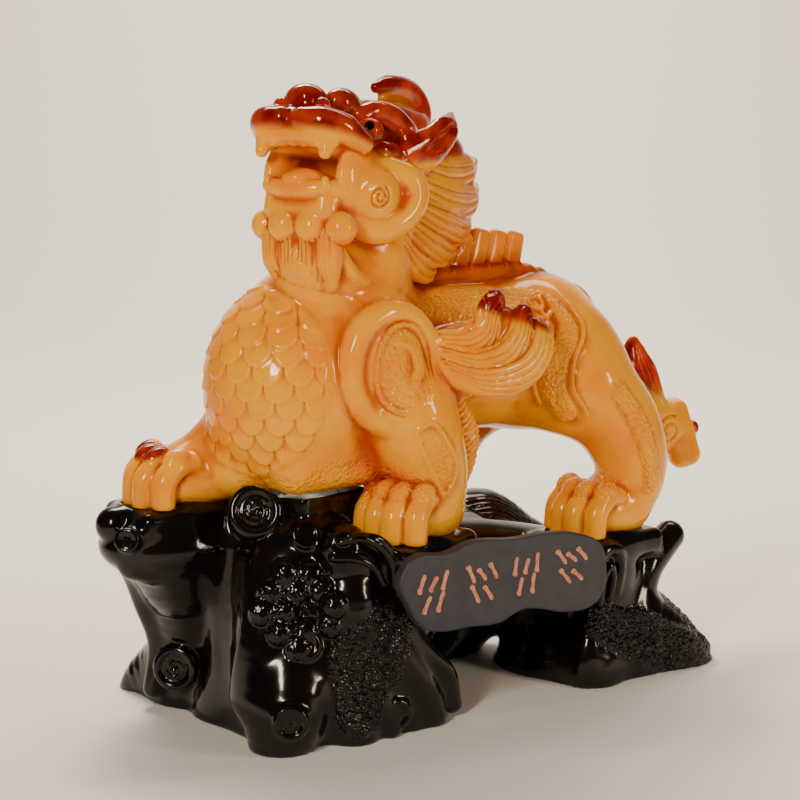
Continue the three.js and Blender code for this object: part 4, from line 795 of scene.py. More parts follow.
LOCKS = (
    (((-14, 31, 12), (-40, 33, 12), (-68, 32, 18), (-87, 29, 27)), (9, 13, 12, 4)),
    (((-14, 32, 1), (-44, 35, -2), (-74, 33, 2), (-92, 29, 12)), (9, 13, 12, 4)),
    (((-14, 32, -11), (-42, 35, -15), (-70, 32, -15), (-88, 28, -7)), (9, 13, 12, 4)),
    (((-10, 31, -22), (-34, 33, -29), (-58, 30, -31), (-76, 26, -26)), (9, 13, 12, 4)),
    (((-2, 29, -31), (-22, 30, -41), (-42, 28, -44), (-60, 24, -41)), (8, 12, 10, 4)),
)
MANE_COMB = (-0.55, -0.1, 0.35)


def mane_steps(side):
    """Broad locks fan back from the cheek and curl up at their ends."""
    steps = [add(egg(HEAD, (-44, side * 16, -4), (45, 18, 38)), 8)]
    for points, radii in LOCKS:
        line = np.array(points) * (1, side, 1)
        steps.append(add(limb(HEAD, line, radii, ((0, 1, 0), 0.55)), 1.2))
        for share in MANE_COMB:
            groove = line + np.outer(radii, (0, 0, share)) + (0, side * 5, 0)
            steps.append(mark(HEAD, groove, np.minimum(np.array(radii) / 5, 1.9), -1.1, 1.9))
    return steps


def figure_steps():
    paws = [step for ankle, heading in PAWS.values() for step in paw_steps(ankle, heading)]
    return (body_steps() + chest_steps() + leg_steps() + paws + fringe_steps() + both(wing_steps)
            + shoulder_steps() + haunch_steps() + fin_steps() + tail_steps() + both(mane_steps)
            + skull_steps() + both(cheek_steps) + muzzle_steps() + chin_steps() + brow_steps()
            + both(ear_steps) + setting_steps() + sole_steps())


def setting_steps():
    """A round setting on the tail's end, with a socket for the stone."""
    return [
        add(drum(TAIL_FACE, -4, 0, 8, 0.4), 0.5),
        cut(drum(TAIL_FACE, -2, 6, 5.3, 0.1), 0.1),
    ]


def sole_steps():
    """Flat soles under all four paws."""
    steps = []
    for ankle, heading in PAWS.values():
        paw = looking_frame(ankle, heading)
        steps.append(cut(block(paw, (10, 0, -14.7), (50, 50, 15), 0.5), 0.3))
    return steps


# The root, in millimetres; it leaves ROOM round the figure except at the seats

ROOM = 3.0
PAW_AHEAD, PAW_LENGTH, PAW_WIDTH = 11, 35, 25.5
SEAT_DEPTH = 16
SEAT_MARGIN = 1.5


def seat(ankle, heading):
    """Frame of the flat seat under a paw, which the sole clears by a hair's breadth."""
    return looking_frame((ankle[0], ankle[1], ankle[2] - SOLE_GAP), heading)


def stump_steps():
    """Trunk under the raised far paw, with sawn stubs round its top."""
    return [
        add(limb(WORLD, [(-96, 72, -12), (-108, 62, 35), (-121, 50, 72), (-134, 44, 106)],
                 [43, 29, 24, 32]), 1),
        add(egg(WORLD, (-136, 44, 108), (44, 36, 21)), 10),
        add(limb(WORLD, [(-140, 50, 112), (-160, 48, 120), (-172, 45, 122)], [18, 13, 11]), 2.5),
        add(limb(WORLD, [(-150, 32, 112), (-168, 28, 116)], [12, 8]), 2.5),
        add(limb(WORLD, [(-142, 32, 97), (-158, 32, 99), (-166, 33, 100)], [14, 11.5, 9.5]), 2.5),
        add(limb(WORLD, [(-132, 66, 100), (-140, 84, 112)], [13, 9]), 5),
        add(limb(WORLD, [(-110, 78, 20), (-128, 98, 4), (-134, 104, -8)], [24, 14, 10]), 10),
        add(limb(WORLD, [(-104, 26, -10), (-98, 22, 40), (-98, 20, 84), (-104, 22, 112)],
                 [28, 25, 22, 18]), 8),
    ]


def front_root_steps():
    """Front mass that carries the near front paw, with toes of root on the table."""
    return [
        add(limb(WORLD, [(-78, -8, -12), (-80, -14, 45), (-78, -14, 100)], [46, 42, 34]), 16),
        add(limb(WORLD, [(-92, -30, 52), (-108, -42, 24), (-113, -40, -8)], [27, 25, 17]), 10),
        add(limb(WORLD, [(-78, -36, 48), (-72, -50, 20), (-70, -54, -8)], [26, 20, 14]), 10),
        add(limb(WORLD, [(-62, -32, 70), (-46, -40, 40), (-34, -42, 8), (-30, -42, -8)],
                 [24, 26, 25, 24]), 12),
        add(limb(WORLD, [(-50, -34, 60), (-30, -46, 34), (-16, -50, 10), (-10, -52, -8)],
                 [22, 17, 15, 14]), 8),
        add(limb(WORLD, [(-98, -18, 96), (-112, -26, 64), (-118, -28, 30)], [22, 20, 18]), 10),
        add(block(WORLD, (-70, 2, 132), (27, 29, 27), 5, (0, 5, 12)), 3),
        cut(limb(WORLD, [(-126, 2, 124), (-131, -8, 96), (-132, -14, 66), (-130, -12, 40)],
                 [7, 10, 10, 6]), 7),
        add(limb(WORLD, [(-98, -36, 66), (-110, -44, 40), (-113, -45, 14)], [12, 15, 13]), 3),
        cut(limb(WORLD, [(-56, -76, 94), (-70, -76, 84), (-80, -74, 74)], [5, 9, 5]), 6),
        add(limb(WORLD, [(-66, -36, 96), (-72, -52, 84), (-70, -50, 60)], [22, 18, 16]), 8),
    ]


def bridge_steps():
    """Bridge that carries the other paws, hollow beneath at the front."""
    return [
        add(limb(WORLD, [(-60, 12, 66), (0, 16, 72), (60, 14, 70), (118, -4, 56)], [34, 31, 30, 32]), 14),
        add(limb(WORLD, [(-46, -44, 84), (-10, -52, 84), (40, -54, 82), (84, -54, 76)],
                 [18, 20, 18, 16]), 10),
        add(limb(WORLD, [(-20, 40, -12), (20, 52, 30), (60, 50, 60)], [24, 22, 24]), 12),
        add(limb(WORLD, [(118, -10, -12), (122, -20, 34), (122, -34, 66)], [44, 32, 26]), 12),
        add(limb(WORLD, [(60, 56, -10), (92, 40, 30), (104, 14, 50)], [20, 22, 24]), 12),
        add(limb(WORLD, [(0, 52, 4), (34, 60, 10), (70, 56, 4)], [24, 26, 22]), 12),
        cut(limb(WORLD, [(28, -110, 8), (32, -50, 16), (38, 6, 20), (36, 30, 14)], [46, 43, 34, 18]), 6),
    ]


RIDGE_GROOVES = 11
RIDGE = ((70, 46, 84), (96, 43, 86), (124, 40, 72), (152, 34, 56), (172, 26, 40))


def right_root_steps():
    """Right foot with its slope of lichen, the rising branch and the striped ridge behind."""
    steps = [
        add(limb(WORLD, [(122, -36, 40), (112, -52, 14), (110, -60, -10)], [24, 18, 12]), 10),
        add(limb(WORLD, [(126, -30, 54), (154, -42, 30), (180, -54, 12), (194, -58, -2)],
                 [28, 26, 18, 13]), 10),
        add(limb(WORLD, [(116, -42, 8), (150, -46, 4), (184, -56, -2)], [28, 25, 15]), 10),
        add(limb(WORLD, [(132, 0, 40), (160, 10, 14), (176, 16, -8)], [28, 18, 10]), 12),
        add(limb(WORLD, [(151, -50, 40), (153, -50, 54), (159, -50, 66), (170, -49, 75), (183, -47, 83)],
                 [15, 13, 12, 11, 10]), 6),
        add(limb(WORLD, RIDGE, [24, 23, 18, 15, 10]), 8),
    ]
    for share in np.linspace(-1, 1, RIDGE_GROOVES):
        groove = [(x, y - 20 + share * 12, z + 14 + share * 14 - i * 2.4)
                  for i, (x, y, z) in enumerate(RIDGE)]
        steps.append(lift(limb(WORLD, groove, [2.0, 2.0, 2.0, 1.8, 1.5]), -1.4, 2))
    return steps


KNOT_RISE = 2.5
KNOTS = (
    ((-109, -10, 132), (-0.48, -0.81, 0.35), 16),
    ((-92, -37, 121), (-0.35, -0.82, 0.45), 8.5),
    ((-135, 42, 29), (-0.7, -0.7, 0.1), 14),
    ((-120, -64, 23), (-0.45, -0.89, 0.05), 10.5),
    ((-103, -54, 62), (-0.35, -0.9, 0.25), 8.5),
    ((-48, -65, 14), (-0.25, -0.96, 0.05), 9),
    ((-175, 22, 118), (-0.62, -0.77, 0.15), 7.5),
)


def facing(middle, out):
    """A frame whose first axis points along a direction and whose last one leans upwards."""
    out = np.array(out, float) / np.linalg.norm(out)
    side = np.cross((0, 0, 1), out)
    side /= np.linalg.norm(side)
    return frame_of(out, side, np.cross(out, side), middle)


def knot_steps(middle, out, radius):
    """A sawn knot that stands off the skin: a rolled rim round rings that wind into a button."""
    knot = facing(np.array(middle) + np.array(out) * KNOT_RISE, out)
    disc = (0, 0, 0), (0, 1, 0), (0, 0, 1)
    rim = winding(*disc, radius * 0.8, radius * 0.8, 1)
    curl = winding(*disc, radius * 0.56, radius * 0.08, 2.0, 30, 36)
    return [
        add(drum(knot, -radius * 1.3, 0, radius * 0.92, radius * 0.2), 4),
        add(limb(knot, rim, radius * 0.2, None, 1), 1),
        add(limb(knot, curl, np.linspace(0.11, 0.09, len(curl)) * radius, None, 1), 0.6),
    ]


BURL = ((-80, -58, 118), (-0.35, -0.9, 0.25), 8)
STRANDS = (
    ([(-84, -62, 121), (-74, -68, 123), (-62, -70, 116), (-54, -70, 104), (-52, -68, 92)], 2.2),
    ([(-76, -64, 124), (-64, -69, 122), (-53, -70, 111), (-47, -69, 98), (-46, -67, 86)], 2.2),
    ([(-88, -60, 112), (-76, -67, 111), (-66, -69, 105), (-60, -69, 95)], 2.2),
    ([(101, -66, 58), (101, -68, 76), (108, -69, 88), (118, -69, 88), (124, -66, 76), (124, -62, 58)], 3.2),
    ([(107, -66, 54), (108, -68, 70), (113, -69, 78), (117, -67, 70), (117, -63, 54)], 2.2),
)


def strand_steps():
    """Strands of wood that sweep round a burl under the near paw and round a loop at the right."""
    steps = [add(limb(WORLD, [(-74, -50, 112), (-56, -54, 102)], [16, 12]), 6)] + knot_steps(*BURL)
    return steps + [add(limb(WORLD, line, radius), 1.2) for line, radius in STRANDS]


FOLD_SINK = (2.5, 5.0, 0)
FOLDS = (
    ([(-130, 10, 106), (-124, 14, 84), (-116, 18, 60), (-118, 12, 34)], 6),
    ([(-158, 54, 90), (-148, 58, 66), (-140, 56, 40), (-144, 56, 12)], 6),
    ([(-58, -58, 100), (-52, -62, 78), (-44, -66, 52), (-30, -68, 26), (-22, -66, 6)], 7),
    ([(-44, -62, 72), (-30, -66, 50), (-12, -66, 30), (-4, -62, 8)], 6),
    ([(-66, -62, 40), (-60, -68, 22), (-54, -70, 4)], 5),
    ([(104, -56, 74), (108, -58, 50), (100, -66, 26), (96, -66, 6)], 6),
    ([(122, -52, 72), (124, -56, 52), (128, -62, 32), (138, -70, 12)], 6),
    ([(136, -48, 70), (140, -54, 52), (152, -58, 34), (168, -64, 16)], 6),
    ([(150, -38, 58), (158, -42, 46), (172, -48, 32), (186, -56, 16)], 5),
)


def fold_steps():
    """Flutes of wood that run down from the knots to the toes of the root."""
    return [add(limb(WORLD, np.array(line) + FOLD_SINK, radius, None, 6), 7) for line, radius in FOLDS]


TUFT_RADIUS = 8.2
TUFT_NEEDLES = 16
NEEDLE_RISE = 1.1
NEEDLE_BED = 0.6
TUFTS = (
    (-107, -39, 101), (-94, -45, 100), (-116, -37, 92), (-103, -44, 91), (-90, -52, 92),
    (-122, -38, 81), (-111, -44, 81), (-96, -48, 80), (-88, -61, 85), (-115, -46, 70),
    (-101, -51, 70), (-89, -58, 73), (-107, -52, 60),
)
TUFT_OUT = (-0.5, -0.82, 0.28)


def tuft_steps(middle):
    """A tuft of pine: needles spread from its middle like the ribs of a shell."""
    tuft = facing(middle, TUFT_OUT)
    back = np.linalg.inv(tuft)

    def needles(points, depth):
        q = placed(back, points)
        turn = np.arctan2(q[..., 2], q[..., 1])
        away = np.hypot(q[..., 1], q[..., 2]) / TUFT_RADIUS
        edge = np.clip(away * 2.5, 0, 1) * np.clip((1.05 - away) * 4, 0, 1)
        ribs = (np.abs(np.sin(turn * TUFT_NEEDLES / 2)) - NEEDLE_BED) * NEEDLE_RISE
        return ribs * edge * np.clip(depth, 0, 1)

    return [
        add(egg(tuft, (0, 0, 0), (TUFT_RADIUS * 0.75, TUFT_RADIUS, TUFT_RADIUS)), 0.5),
        tool(egg(tuft, (1, 0, 0), (TUFT_RADIUS + 1,) * 3), needles),
    ]


STIR = np.array([[12.9898, 39.346, 73.156], [78.233, 11.135, 52.235], [37.719, 83.155, 9.151]])
STIR_FAR = 43758.5453
STIR_SEED = 1.7


def scattered(cells):
    """Three even random numbers between 0 and 1 for each whole cell, the same at every run."""
    return np.mod(np.abs(np.sin(cells @ STIR + STIR_SEED)) * STIR_FAR, 1.0)


# A grain wanders over this share of its cell, and reaches this far, squared, from its middle
GRAIN_WANDER = 0.6
GRAIN_REACH = 0.62
GRAIN_TOP = 0.79


def granules(points, pitch, rise):
    """Height of round grains that lie close together, one in each cell of a loose lattice."""
    share = points / pitch
    base = np.floor(share)
    best = np.full(points.shape[:-1], 9.0)
    for cell in corner_grid((3, 3, 3)) - 1:
        near = base + cell
        spot = near + (1 - GRAIN_WANDER) / 2 + GRAIN_WANDER * scattered(near)
        best = np.minimum(best, ((share - spot) ** 2).sum(-1))
    return rise * (np.sqrt(np.maximum(GRAIN_REACH - best, 0)) / GRAIN_TOP * 2 - 1)


LICHEN_PITCH = 3.6
LICHEN_RISE = 0.9
LICHEN_SWELL = 1.2
LICHEN_EDGE = 3
LICHEN = (
    ([(-60, -65, 72), (-74, -66, 56), (-74, -66, 38), (-76, -69, 20)], [12, 17, 18, 15]),
    ([(-50, -64, 66), (-56, -68, 44)], [10, 14]),
    ([(108, -66, 42), (136, -66, 28), (168, -70, 14), (198, -68, 4)], [12, 18, 17, 14]),
    ([(150, -44, 46), (176, -46, 32), (200, -58, 12)], [12, 15, 13]),
)


def lichen_steps():
    """Crusts of lichen: grains packed over a raised patch."""
    steps = []
    for line, radii in LICHEN:
        patch = limb(WORLD, line, radii)

        def crust(points, depth):
            edge = np.clip(depth / LICHEN_EDGE, 0, 1)
            return (LICHEN_SWELL + granules(points, LICHEN_PITCH, LICHEN_RISE)) * edge

        steps.append(tool(patch, crust))
    return steps


def prop_steps():
    """Stems of root that rise to each seat."""
    steps = []
    for ankle, heading in PAWS.values():
        place = seat(ankle, heading)
        steps.append(add(limb(place, [(PAW_AHEAD, 0, -10), (PAW_AHEAD, 0, -24), (PAW_AHEAD, 0, -48)],
                              [27, 27, 20]), 8))
    return steps


def room_steps(figure):
    """The figure's own skin pushed outwards, cut from the root, and the seats set in again."""

    def far(points, centres, ball):
        return carved(figure, centres, 0.0 if ball is None else ball, points) - ROOM

    steps = [cut(Form((0, 0, 190), 400, far), 1)]
    for ankle, heading in PAWS.values():
        place = seat(ankle, heading)
        half = (PAW_LENGTH + SEAT_MARGIN, PAW_WIDTH + SEAT_MARGIN, SEAT_DEPTH / 2)
        steps.append(add(block(place, (PAW_AHEAD, 0, -SEAT_DEPTH / 2), half, 6.0), 7))
    return steps


def root_steps(figure):
    """The whole root, cut flat where it stands on the table."""
    steps = stump_steps() + front_root_steps() + bridge_steps() + right_root_steps() + prop_steps()
    steps += fold_steps() + lichen_steps() + strand_steps()
    for middle, out, radius in KNOTS:
        steps += knot_steps(middle, out, radius)
    for middle in TUFTS:
        steps += tuft_steps(middle)
    return steps + room_steps(figure) + [cut(block(WORLD, (0, 0, -60), (400, 400, 60), 0), 0.5)]


# Plate, strokes and stone

def board_curve(name, outline, half, bevel):
    """A board from a closed outline in its own X and Y, with rounded edges."""
    curve = bpy.data.curves.new(name, "CURVE")
    curve.dimensions = "2D"
    curve.fill_mode = "BOTH"
    curve.resolution_u = 8
    curve.extrude = (half - bevel) * MM
    curve.bevel_depth = bevel * MM
    curve.bevel_resolution = 3
    curve.offset = -bevel * MM
    line = curve.splines.new("BEZIER")
    line.bezier_points.add(len(outline) - 1)
    for point, (across, up) in zip(line.bezier_points, outline):
        point.co = (across * MM, up * MM, 0)
        point.handle_left_type = point.handle_right_type = "AUTO"
    line.use_cyclic_u = True
    return put(name, curve)


def as_mesh(piece, place):
    """Mesh object of a curve, with its place worked into its corners."""
    graph = bpy.context.evaluated_depsgraph_get()
    mesh = bpy.data.meshes.new_from_object(piece.evaluated_get(graph))
    mesh.transform(place)
    name, curve = piece.name, piece.data
    bpy.data.objects.remove(piece)
    bpy.data.curves.remove(curve)
    return put(name, mesh)


def in_frame(x, y, z):
    """A place of the carving, in metres and in the frame of the solids."""
    return Matrix.Translation((np.array([x, y, z]) + SHIFT) * MM)


PLATE_FRONT = -83
PLATE_HALF = 4
PLATE_ROUNDING = 1.6
PLATE_MIDDLE_X = 20
PLATE_FOOT = 64
PLATE_EDGE = (
    (0.02, 0.86), (0.06, 0.99), (0.22, 0.98), (0.33, 1.06), (0.55, 1.0), (0.7, 1.0), (0.87, 0.9),
    (0.97, 0.72), (1.0, 0.4), (0.985, 0.08), (0.93, -0.08), (0.8, -0.1), (0.66, 0.02), (0.58, 0.06),
    (0.46, -0.05), (0.32, -0.02), (0.18, 0.0), (0.1, 0.1), (0.035, 0.42), (0.0, 0.7),
)
UPRIGHT = Matrix.Rotation(math.radians(90), 4, "X")


def name_plate(sizes):
    """The board with a wavy edge on the front of the root."""
    long, high = sizes.plate_length / MM, sizes.plate_height / MM
    outline = [((along - 0.5) * long, up * high) for along, up in PLATE_EDGE]
    board = board_curve("name_plate", outline, PLATE_HALF, PLATE_ROUNDING)
    place = in_frame(PLATE_MIDDLE_X, PLATE_FRONT + PLATE_HALF, PLATE_FOOT) @ UPRIGHT
    return as_mesh(board, place)


STROKE_GROUPS = 4
STROKES = (
    (-0.38, 0.27, 0.5, 68), (-0.02, 0.23, 0.42, 58), (0.33, 0.28, 0.52, 72),
    (-0.22, -0.28, 0.48, 62), (0.2, -0.25, 0.55, 70),
)
STROKE_EDGE = (
    (-1, 0.7), (-0.8, 1.1), (-0.3, 0.8), (0.6, 0.9), (1, 0.2), (0.9, -0.7), (0.3, -0.75), (-0.5, -0.8),
    (-0.95, -1.1),
)
STROKE_PITCH = 0.22
STROKE_ASIDE = 0.02
STROKE_LEVEL = 0.52
STROKE_LEAN = 7
STROKE_RAISE = 0.8
STROKE_ROUNDING = 0.4


def plate_strokes(sizes):
    """Two rows of brushed strokes in each group: each swells at its head and thins to its tail."""
    made = []
    block_size = sizes.stroke_block / MM
    long = sizes.plate_length / MM
    wide = sizes.stroke_width / MM / 2
    z = PLATE_FOOT + sizes.plate_height / MM * STROKE_LEVEL
    for group in range(STROKE_GROUPS):
        x = PLATE_MIDDLE_X + (group - (STROKE_GROUPS - 1) / 2) * (long * STROKE_PITCH) - long * STROKE_ASIDE
        flip = -1 if group % 2 else 1
        for across, up, share, turn in STROKES:
            half = share * block_size / 2
            outline = [(along * half, aside * wide) for along, aside in STROKE_EDGE]
            bar = board_curve("stroke", outline, STROKE_RAISE, STROKE_ROUNDING)
            tilt = Matrix.Rotation(math.radians(-flip * turn - group * STROKE_LEAN), 4, "Y")
            place = in_frame(x + flip * across * block_size, PLATE_FRONT, z + up * block_size)
            made.append(as_mesh(bar, place @ tilt @ UPRIGHT))
    return made


STONE_SEAT = 2.0
STONE_GAP = 0.3
STONE_FOOT = 0.9
STONE_CHAMFER = 0.3
STONE_SIDES = 40
STONE_RINGS = 10


def stone(sizes):
    """A cabochon in its socket at the end of the tail: a straight girdle under a low dome."""
    radius, rise = sizes.stone_width / MM / 2, sizes.stone_rise / MM
    angles = np.linspace(0, math.pi / 2, STONE_RINGS)
    foot = STONE_GAP - STONE_SEAT
    profile = [(radius * STONE_FOOT, foot), (radius, foot + STONE_CHAMFER)]
    profile += [(radius * math.cos(angle), rise * math.sin(angle)) for angle in angles[:-1]]
    turns = [2 * math.pi * side / STONE_SIDES for side in range(STONE_SIDES)]
    shape = bmesh.new()
    rings = []
    for wide, up in profile:
        ring = [(wide * math.cos(turn), wide * math.sin(turn), up) for turn in turns]
        rings.append([shape.verts.new(corner) for corner in ring])
    for low, high in zip(rings, rings[1:]):
        for side in range(STONE_SIDES):
            after = (side + 1) % STONE_SIDES
            shape.faces.new((low[side], low[after], high[after], high[side]))
    top = shape.verts.new((0, 0, rise))
    for side in range(STONE_SIDES):
        shape.faces.new((rings[-1][side], rings[-1][(side + 1) % STONE_SIDES], top))
    shape.faces.new(rings[0][::-1])
    mesh = bpy.data.meshes.new("tail_stone")
    shape.to_mesh(mesh)
    shape.free()
    outwards = Matrix(TAIL_FACE.tolist()) @ Matrix.Rotation(math.radians(90), 4, "Y")
    mesh.transform(in_frame(0, 0, 0) @ Matrix.Scale(MM, 4) @ outwards)
    mesh.shade_smooth()
    return put("tail_stone", mesh)


# Looks: colours as sRGB hex, patterns sized in real millimetres

def linear(code):
    """Linear colour of an sRGB hex value."""
    shares = (int(code[i:i + 2], 16) / 255 for i in (1, 3, 5))
    shares = (part / 12.92 if part <= 0.04045 else ((part + 0.055) / 1.055) ** 2.4 for part in shares)
    return (*shares, 1.0)


def node(tree, kind, links=None, stops=(), **settings):
    """Adds a node: settings name its properties, links map its inputs to outputs or values, and
    stops are the places and colours of a ramp."""
    made = tree.nodes.new(kind)
    for key, value in settings.items():
        setattr(made, key, value)
    for key, source in (links or {}).items():
        if isinstance(source, bpy.types.NodeSocket):
            tree.links.new(source, made.inputs[key])
        else:
            made.inputs[key].default_value = source
    for point, (place, colour) in zip(made.color_ramp.elements if stops else (), stops):
        point.position = place
        point.color = colour
    return made


def new_material(name):
    """A material with nothing in it yet, and its tree."""
    material = bpy.data.materials.new(name)
    material.use_nodes = True
    material.node_tree.nodes.clear()
    return material, material.node_tree


def finished(material, links):
    """Gives a material its surface, by the names of its inputs."""
    surface = node(material.node_tree, "ShaderNodeBsdfPrincipled", links)
    node(material.node_tree, "ShaderNodeOutputMaterial", {"Surface": surface.outputs["BSDF"]})
    return material


def pattern(place, width, **others):
    """Inputs of a pattern whose clouds or grains are so many millimetres wide."""
    return {"Vector": place, "Scale": 1 / (width * MM), **others}


# Widths of the patterns in the materials, and depths of their relief, in millimetres
AMBER_CLOUDS, RED_GLOW_POOLS, AMBER_RIPPLE, FUR_GRAIN = 34, 13, 5, 2.4
BLACK_CLOUDS, BLACK_RIPPLE, CRUST_GRAIN = 28, 3, 2.2
PLATE_CLOUDS, PLATE_GRAIN, ENAMEL_WEAR = 9, 1.2, 2.5
AMBER_DEPTH, FUR_DEPTH = 0.4, 1.4
BLACK_DEPTH, CRUST_DEPTH = 0.3, 1.6
PLATE_DEPTH = 0.2
GLOW_DEPTH = 5
RED_CLEARNESS = 0.5
PUPIL_RADIUS = 3.2
PUPIL_EDGE = 0.3
PUPIL = (41.5, 29, 26.5)


def pupil_share(tree, place):
    """1 inside the round spots painted on the eyes, 0 elsewhere."""
    inner, outer = (PUPIL_RADIUS - PUPIL_EDGE) * MM, PUPIL_RADIUS * MM
    shares = []
    for side in SIDES:
        spot = in_frame(*placed(HEAD, np.multiply(PUPIL, (1, side, 1)))).translation
        gap = node(tree, "ShaderNodeVectorMath", {0: place, 1: spot}, operation="DISTANCE").outputs["Value"]
        shares.append(node(tree, "ShaderNodeMapRange", {0: gap, 1: inner, 2: outer, 3: 1, 4: 0}).outputs[0])
    return node(tree, "ShaderNodeMath", dict(enumerate(shares)), operation="MAXIMUM").outputs[0]


def amber_material(looks):
    """Imitation amber: cast polyester resin, polished. Light sinks in and comes back warm, so the
    body glows and its edges stay soft under a hard gloss; the top of the head is dyed dark red.
    A deeper orange in the carving's hollows is painted shade."""
    material, tree = new_material("Imitation amber resin, polished")
    place = node(tree, "ShaderNodeTexCoord").outputs["Object"]
    red, hollow, furred = (node(tree, "ShaderNodeAttribute", attribute_name=name).outputs["Fac"]
                           for name in ("amber_red", "hollow", "furred"))
    clouds = node(tree, "ShaderNodeTexNoise", pattern(place, AMBER_CLOUDS, Detail=3.0))
    glow_pools = node(tree, "ShaderNodeTexNoise", pattern(place, RED_GLOW_POOLS, Detail=1.0))
    fine = node(tree, "ShaderNodeTexNoise", pattern(place, AMBER_RIPPLE, Detail=2.0))
    grains = node(tree, "ShaderNodeTexVoronoi", pattern(place, FUR_GRAIN))
    body = node(tree, "ShaderNodeValToRGB", {"Fac": clouds.outputs["Fac"]},
                [(0.3, looks.amber_deep), (0.62, looks.amber)])
    # The dye's dark red, mixed in random pools with orange-red painted glow that stands for light gathering
    # in the resin
    reds = node(tree, "ShaderNodeValToRGB", {"Fac": glow_pools.outputs["Fac"]},
                [(0.42, looks.amber_red), (0.68, looks.amber_glow)])
    coat = body.outputs["Color"]
    # Over the body: painted shade in the hollows, then the red dye with its painted glow, then the black
    # paint of the pupils
    for share, layer in ((hollow, looks.amber_painted_shade), (red, reds.outputs["Color"]),
                         (pupil_share(tree, place), looks.black)):
        coat = node(tree, "ShaderNodeMix", {0: share, 6: coat, 7: layer},
                          data_type="RGBA").outputs[2]
    clear = node(tree, "ShaderNodeMath", {0: red, 1: RED_CLEARNESS}, operation="MULTIPLY")
    gloss = node(tree, "ShaderNodeMapRange", {0: fine.outputs["Fac"], 3: 0.06, 4: 0.16})
    ripple = node(tree, "ShaderNodeBump", {"Strength": 0.1, "Distance": AMBER_DEPTH * MM,
                                           "Height": fine.outputs["Fac"]})
    fur = node(tree, "ShaderNodeBump", {"Strength": furred, "Distance": FUR_DEPTH * MM,
                                        "Normal": ripple.outputs[0],
                                        "Height": grains.outputs["Distance"]}, invert=True)
    return finished(material, {
        "Base Color": coat,
        "Roughness": gloss.outputs[0],
        "Normal": fur.outputs["Normal"],
        "Transmission Weight": clear.outputs[0],
        "IOR": 1.54,
        "Subsurface Weight": 0.4,
        "Subsurface Radius": (1.0, 0.5, 0.04),
        "Subsurface Scale": GLOW_DEPTH * MM,
        "Specular IOR Level": 0.3,
        "Specular Tint": (1.0, 0.82, 0.55, 1.0),
    })


def black_material(looks):
    """Black-brown cast resin, polished: almost no colour of its own, so it is read by its
    reflections; the lichen's grains break them up."""
    material, tree = new_material("Black resin, polished")
    place = node(tree, "ShaderNodeTexCoord").outputs["Object"]
    rough = node(tree, "ShaderNodeAttribute", attribute_name="lichen").outputs["Fac"]
    clouds = node(tree, "ShaderNodeTexNoise", pattern(place, BLACK_CLOUDS, Detail=4.0))
    fine = node(tree, "ShaderNodeTexNoise", pattern(place, BLACK_RIPPLE, Detail=3.0))
    grains = node(tree, "ShaderNodeTexVoronoi", pattern(place, CRUST_GRAIN))
    colour = node(tree, "ShaderNodeValToRGB", {"Fac": clouds.outputs["Fac"]},
                  [(0.35, looks.black), (0.75, looks.black_brown)])
    gloss = node(tree, "ShaderNodeMapRange", {0: rough, 3: 0.14, 4: 0.22})
    ripple = node(tree, "ShaderNodeBump", {"Strength": 0.12, "Distance": BLACK_DEPTH * MM,
                                           "Height": fine.outputs["Fac"]})
    crust = node(tree, "ShaderNodeBump", {"Strength": rough, "Distance": CRUST_DEPTH * MM,
                                          "Normal": ripple.outputs[0],
                                          "Height": grains.outputs["Distance"]}, invert=True)
    return finished(material, {
        "Base Color": colour.outputs["Color"],
        "Roughness": gloss.outputs[0],
        "Normal": crust.outputs["Normal"],
        "IOR": 1.5,
        "Specular IOR Level": 0.36,
    })


def plate_material(looks):
    """Painted plate, slate grey and matt, so it stands back from the glossy root."""
    material, tree = new_material("Slate grey paint, matt")
    place = node(tree, "ShaderNodeTexCoord").outputs["Object"]
    dust = node(tree, "ShaderNodeTexNoise", pattern(place, PLATE_CLOUDS, Detail=5.0))
    grain = node(tree, "ShaderNodeTexNoise", pattern(place, PLATE_GRAIN, Detail=2.0))
    colour = node(tree, "ShaderNodeValToRGB", {"Fac": dust.outputs["Fac"]},
                  [(0.3, looks.plate), (0.7, looks.plate_light)])
    ripple = node(tree, "ShaderNodeBump", {"Strength": 0.25, "Distance": PLATE_DEPTH * MM,
                                           "Height": grain.outputs["Fac"]})
    return finished(material, {
        "Base Color": colour.outputs["Color"],
        "Normal": ripple.outputs["Normal"],
        "Roughness": 0.55,
    })


def stroke_material(looks):
    """Salmon enamel brushed on the raised strokes: satin, and darker where it is thin."""
    material, tree = new_material("Salmon enamel")
    place = node(tree, "ShaderNodeTexCoord").outputs["Object"]
    wear = node(tree, "ShaderNodeTexNoise", pattern(place, ENAMEL_WEAR, Detail=4.0))
    colour = node(tree, "ShaderNodeValToRGB", {"Fac": wear.outputs["Fac"]},
                  [(0.3, looks.stroke_worn), (0.55, looks.stroke)])
    return finished(material, {"Base Color": colour.outputs["Color"], "Roughness": 0.5})


def stone_material(looks):
    """Red glass cabochon, its colour painted: bright in the middle as painted glow, where light gathers, and
    dark at the rim as painted shade.
    """
    material, tree = new_material("Red glass, polished")
    rim = node(tree, "ShaderNodeLayerWeight", {"Blend": 0.35})
    # Painted glow in the middle of the dome and painted shade towards its rim
    colour = node(tree, "ShaderNodeValToRGB", {"Fac": rim.outputs["Facing"]},
                  [(0.0, looks.stone), (1.0, looks.stone_rim_shade)])
    return finished(material, {
        "Base Color": colour.outputs["Color"],
        "Roughness": 0.04,
        "IOR": 1.6,
        "Transmission Weight": 0.35,
    })


# Attributes that the materials read

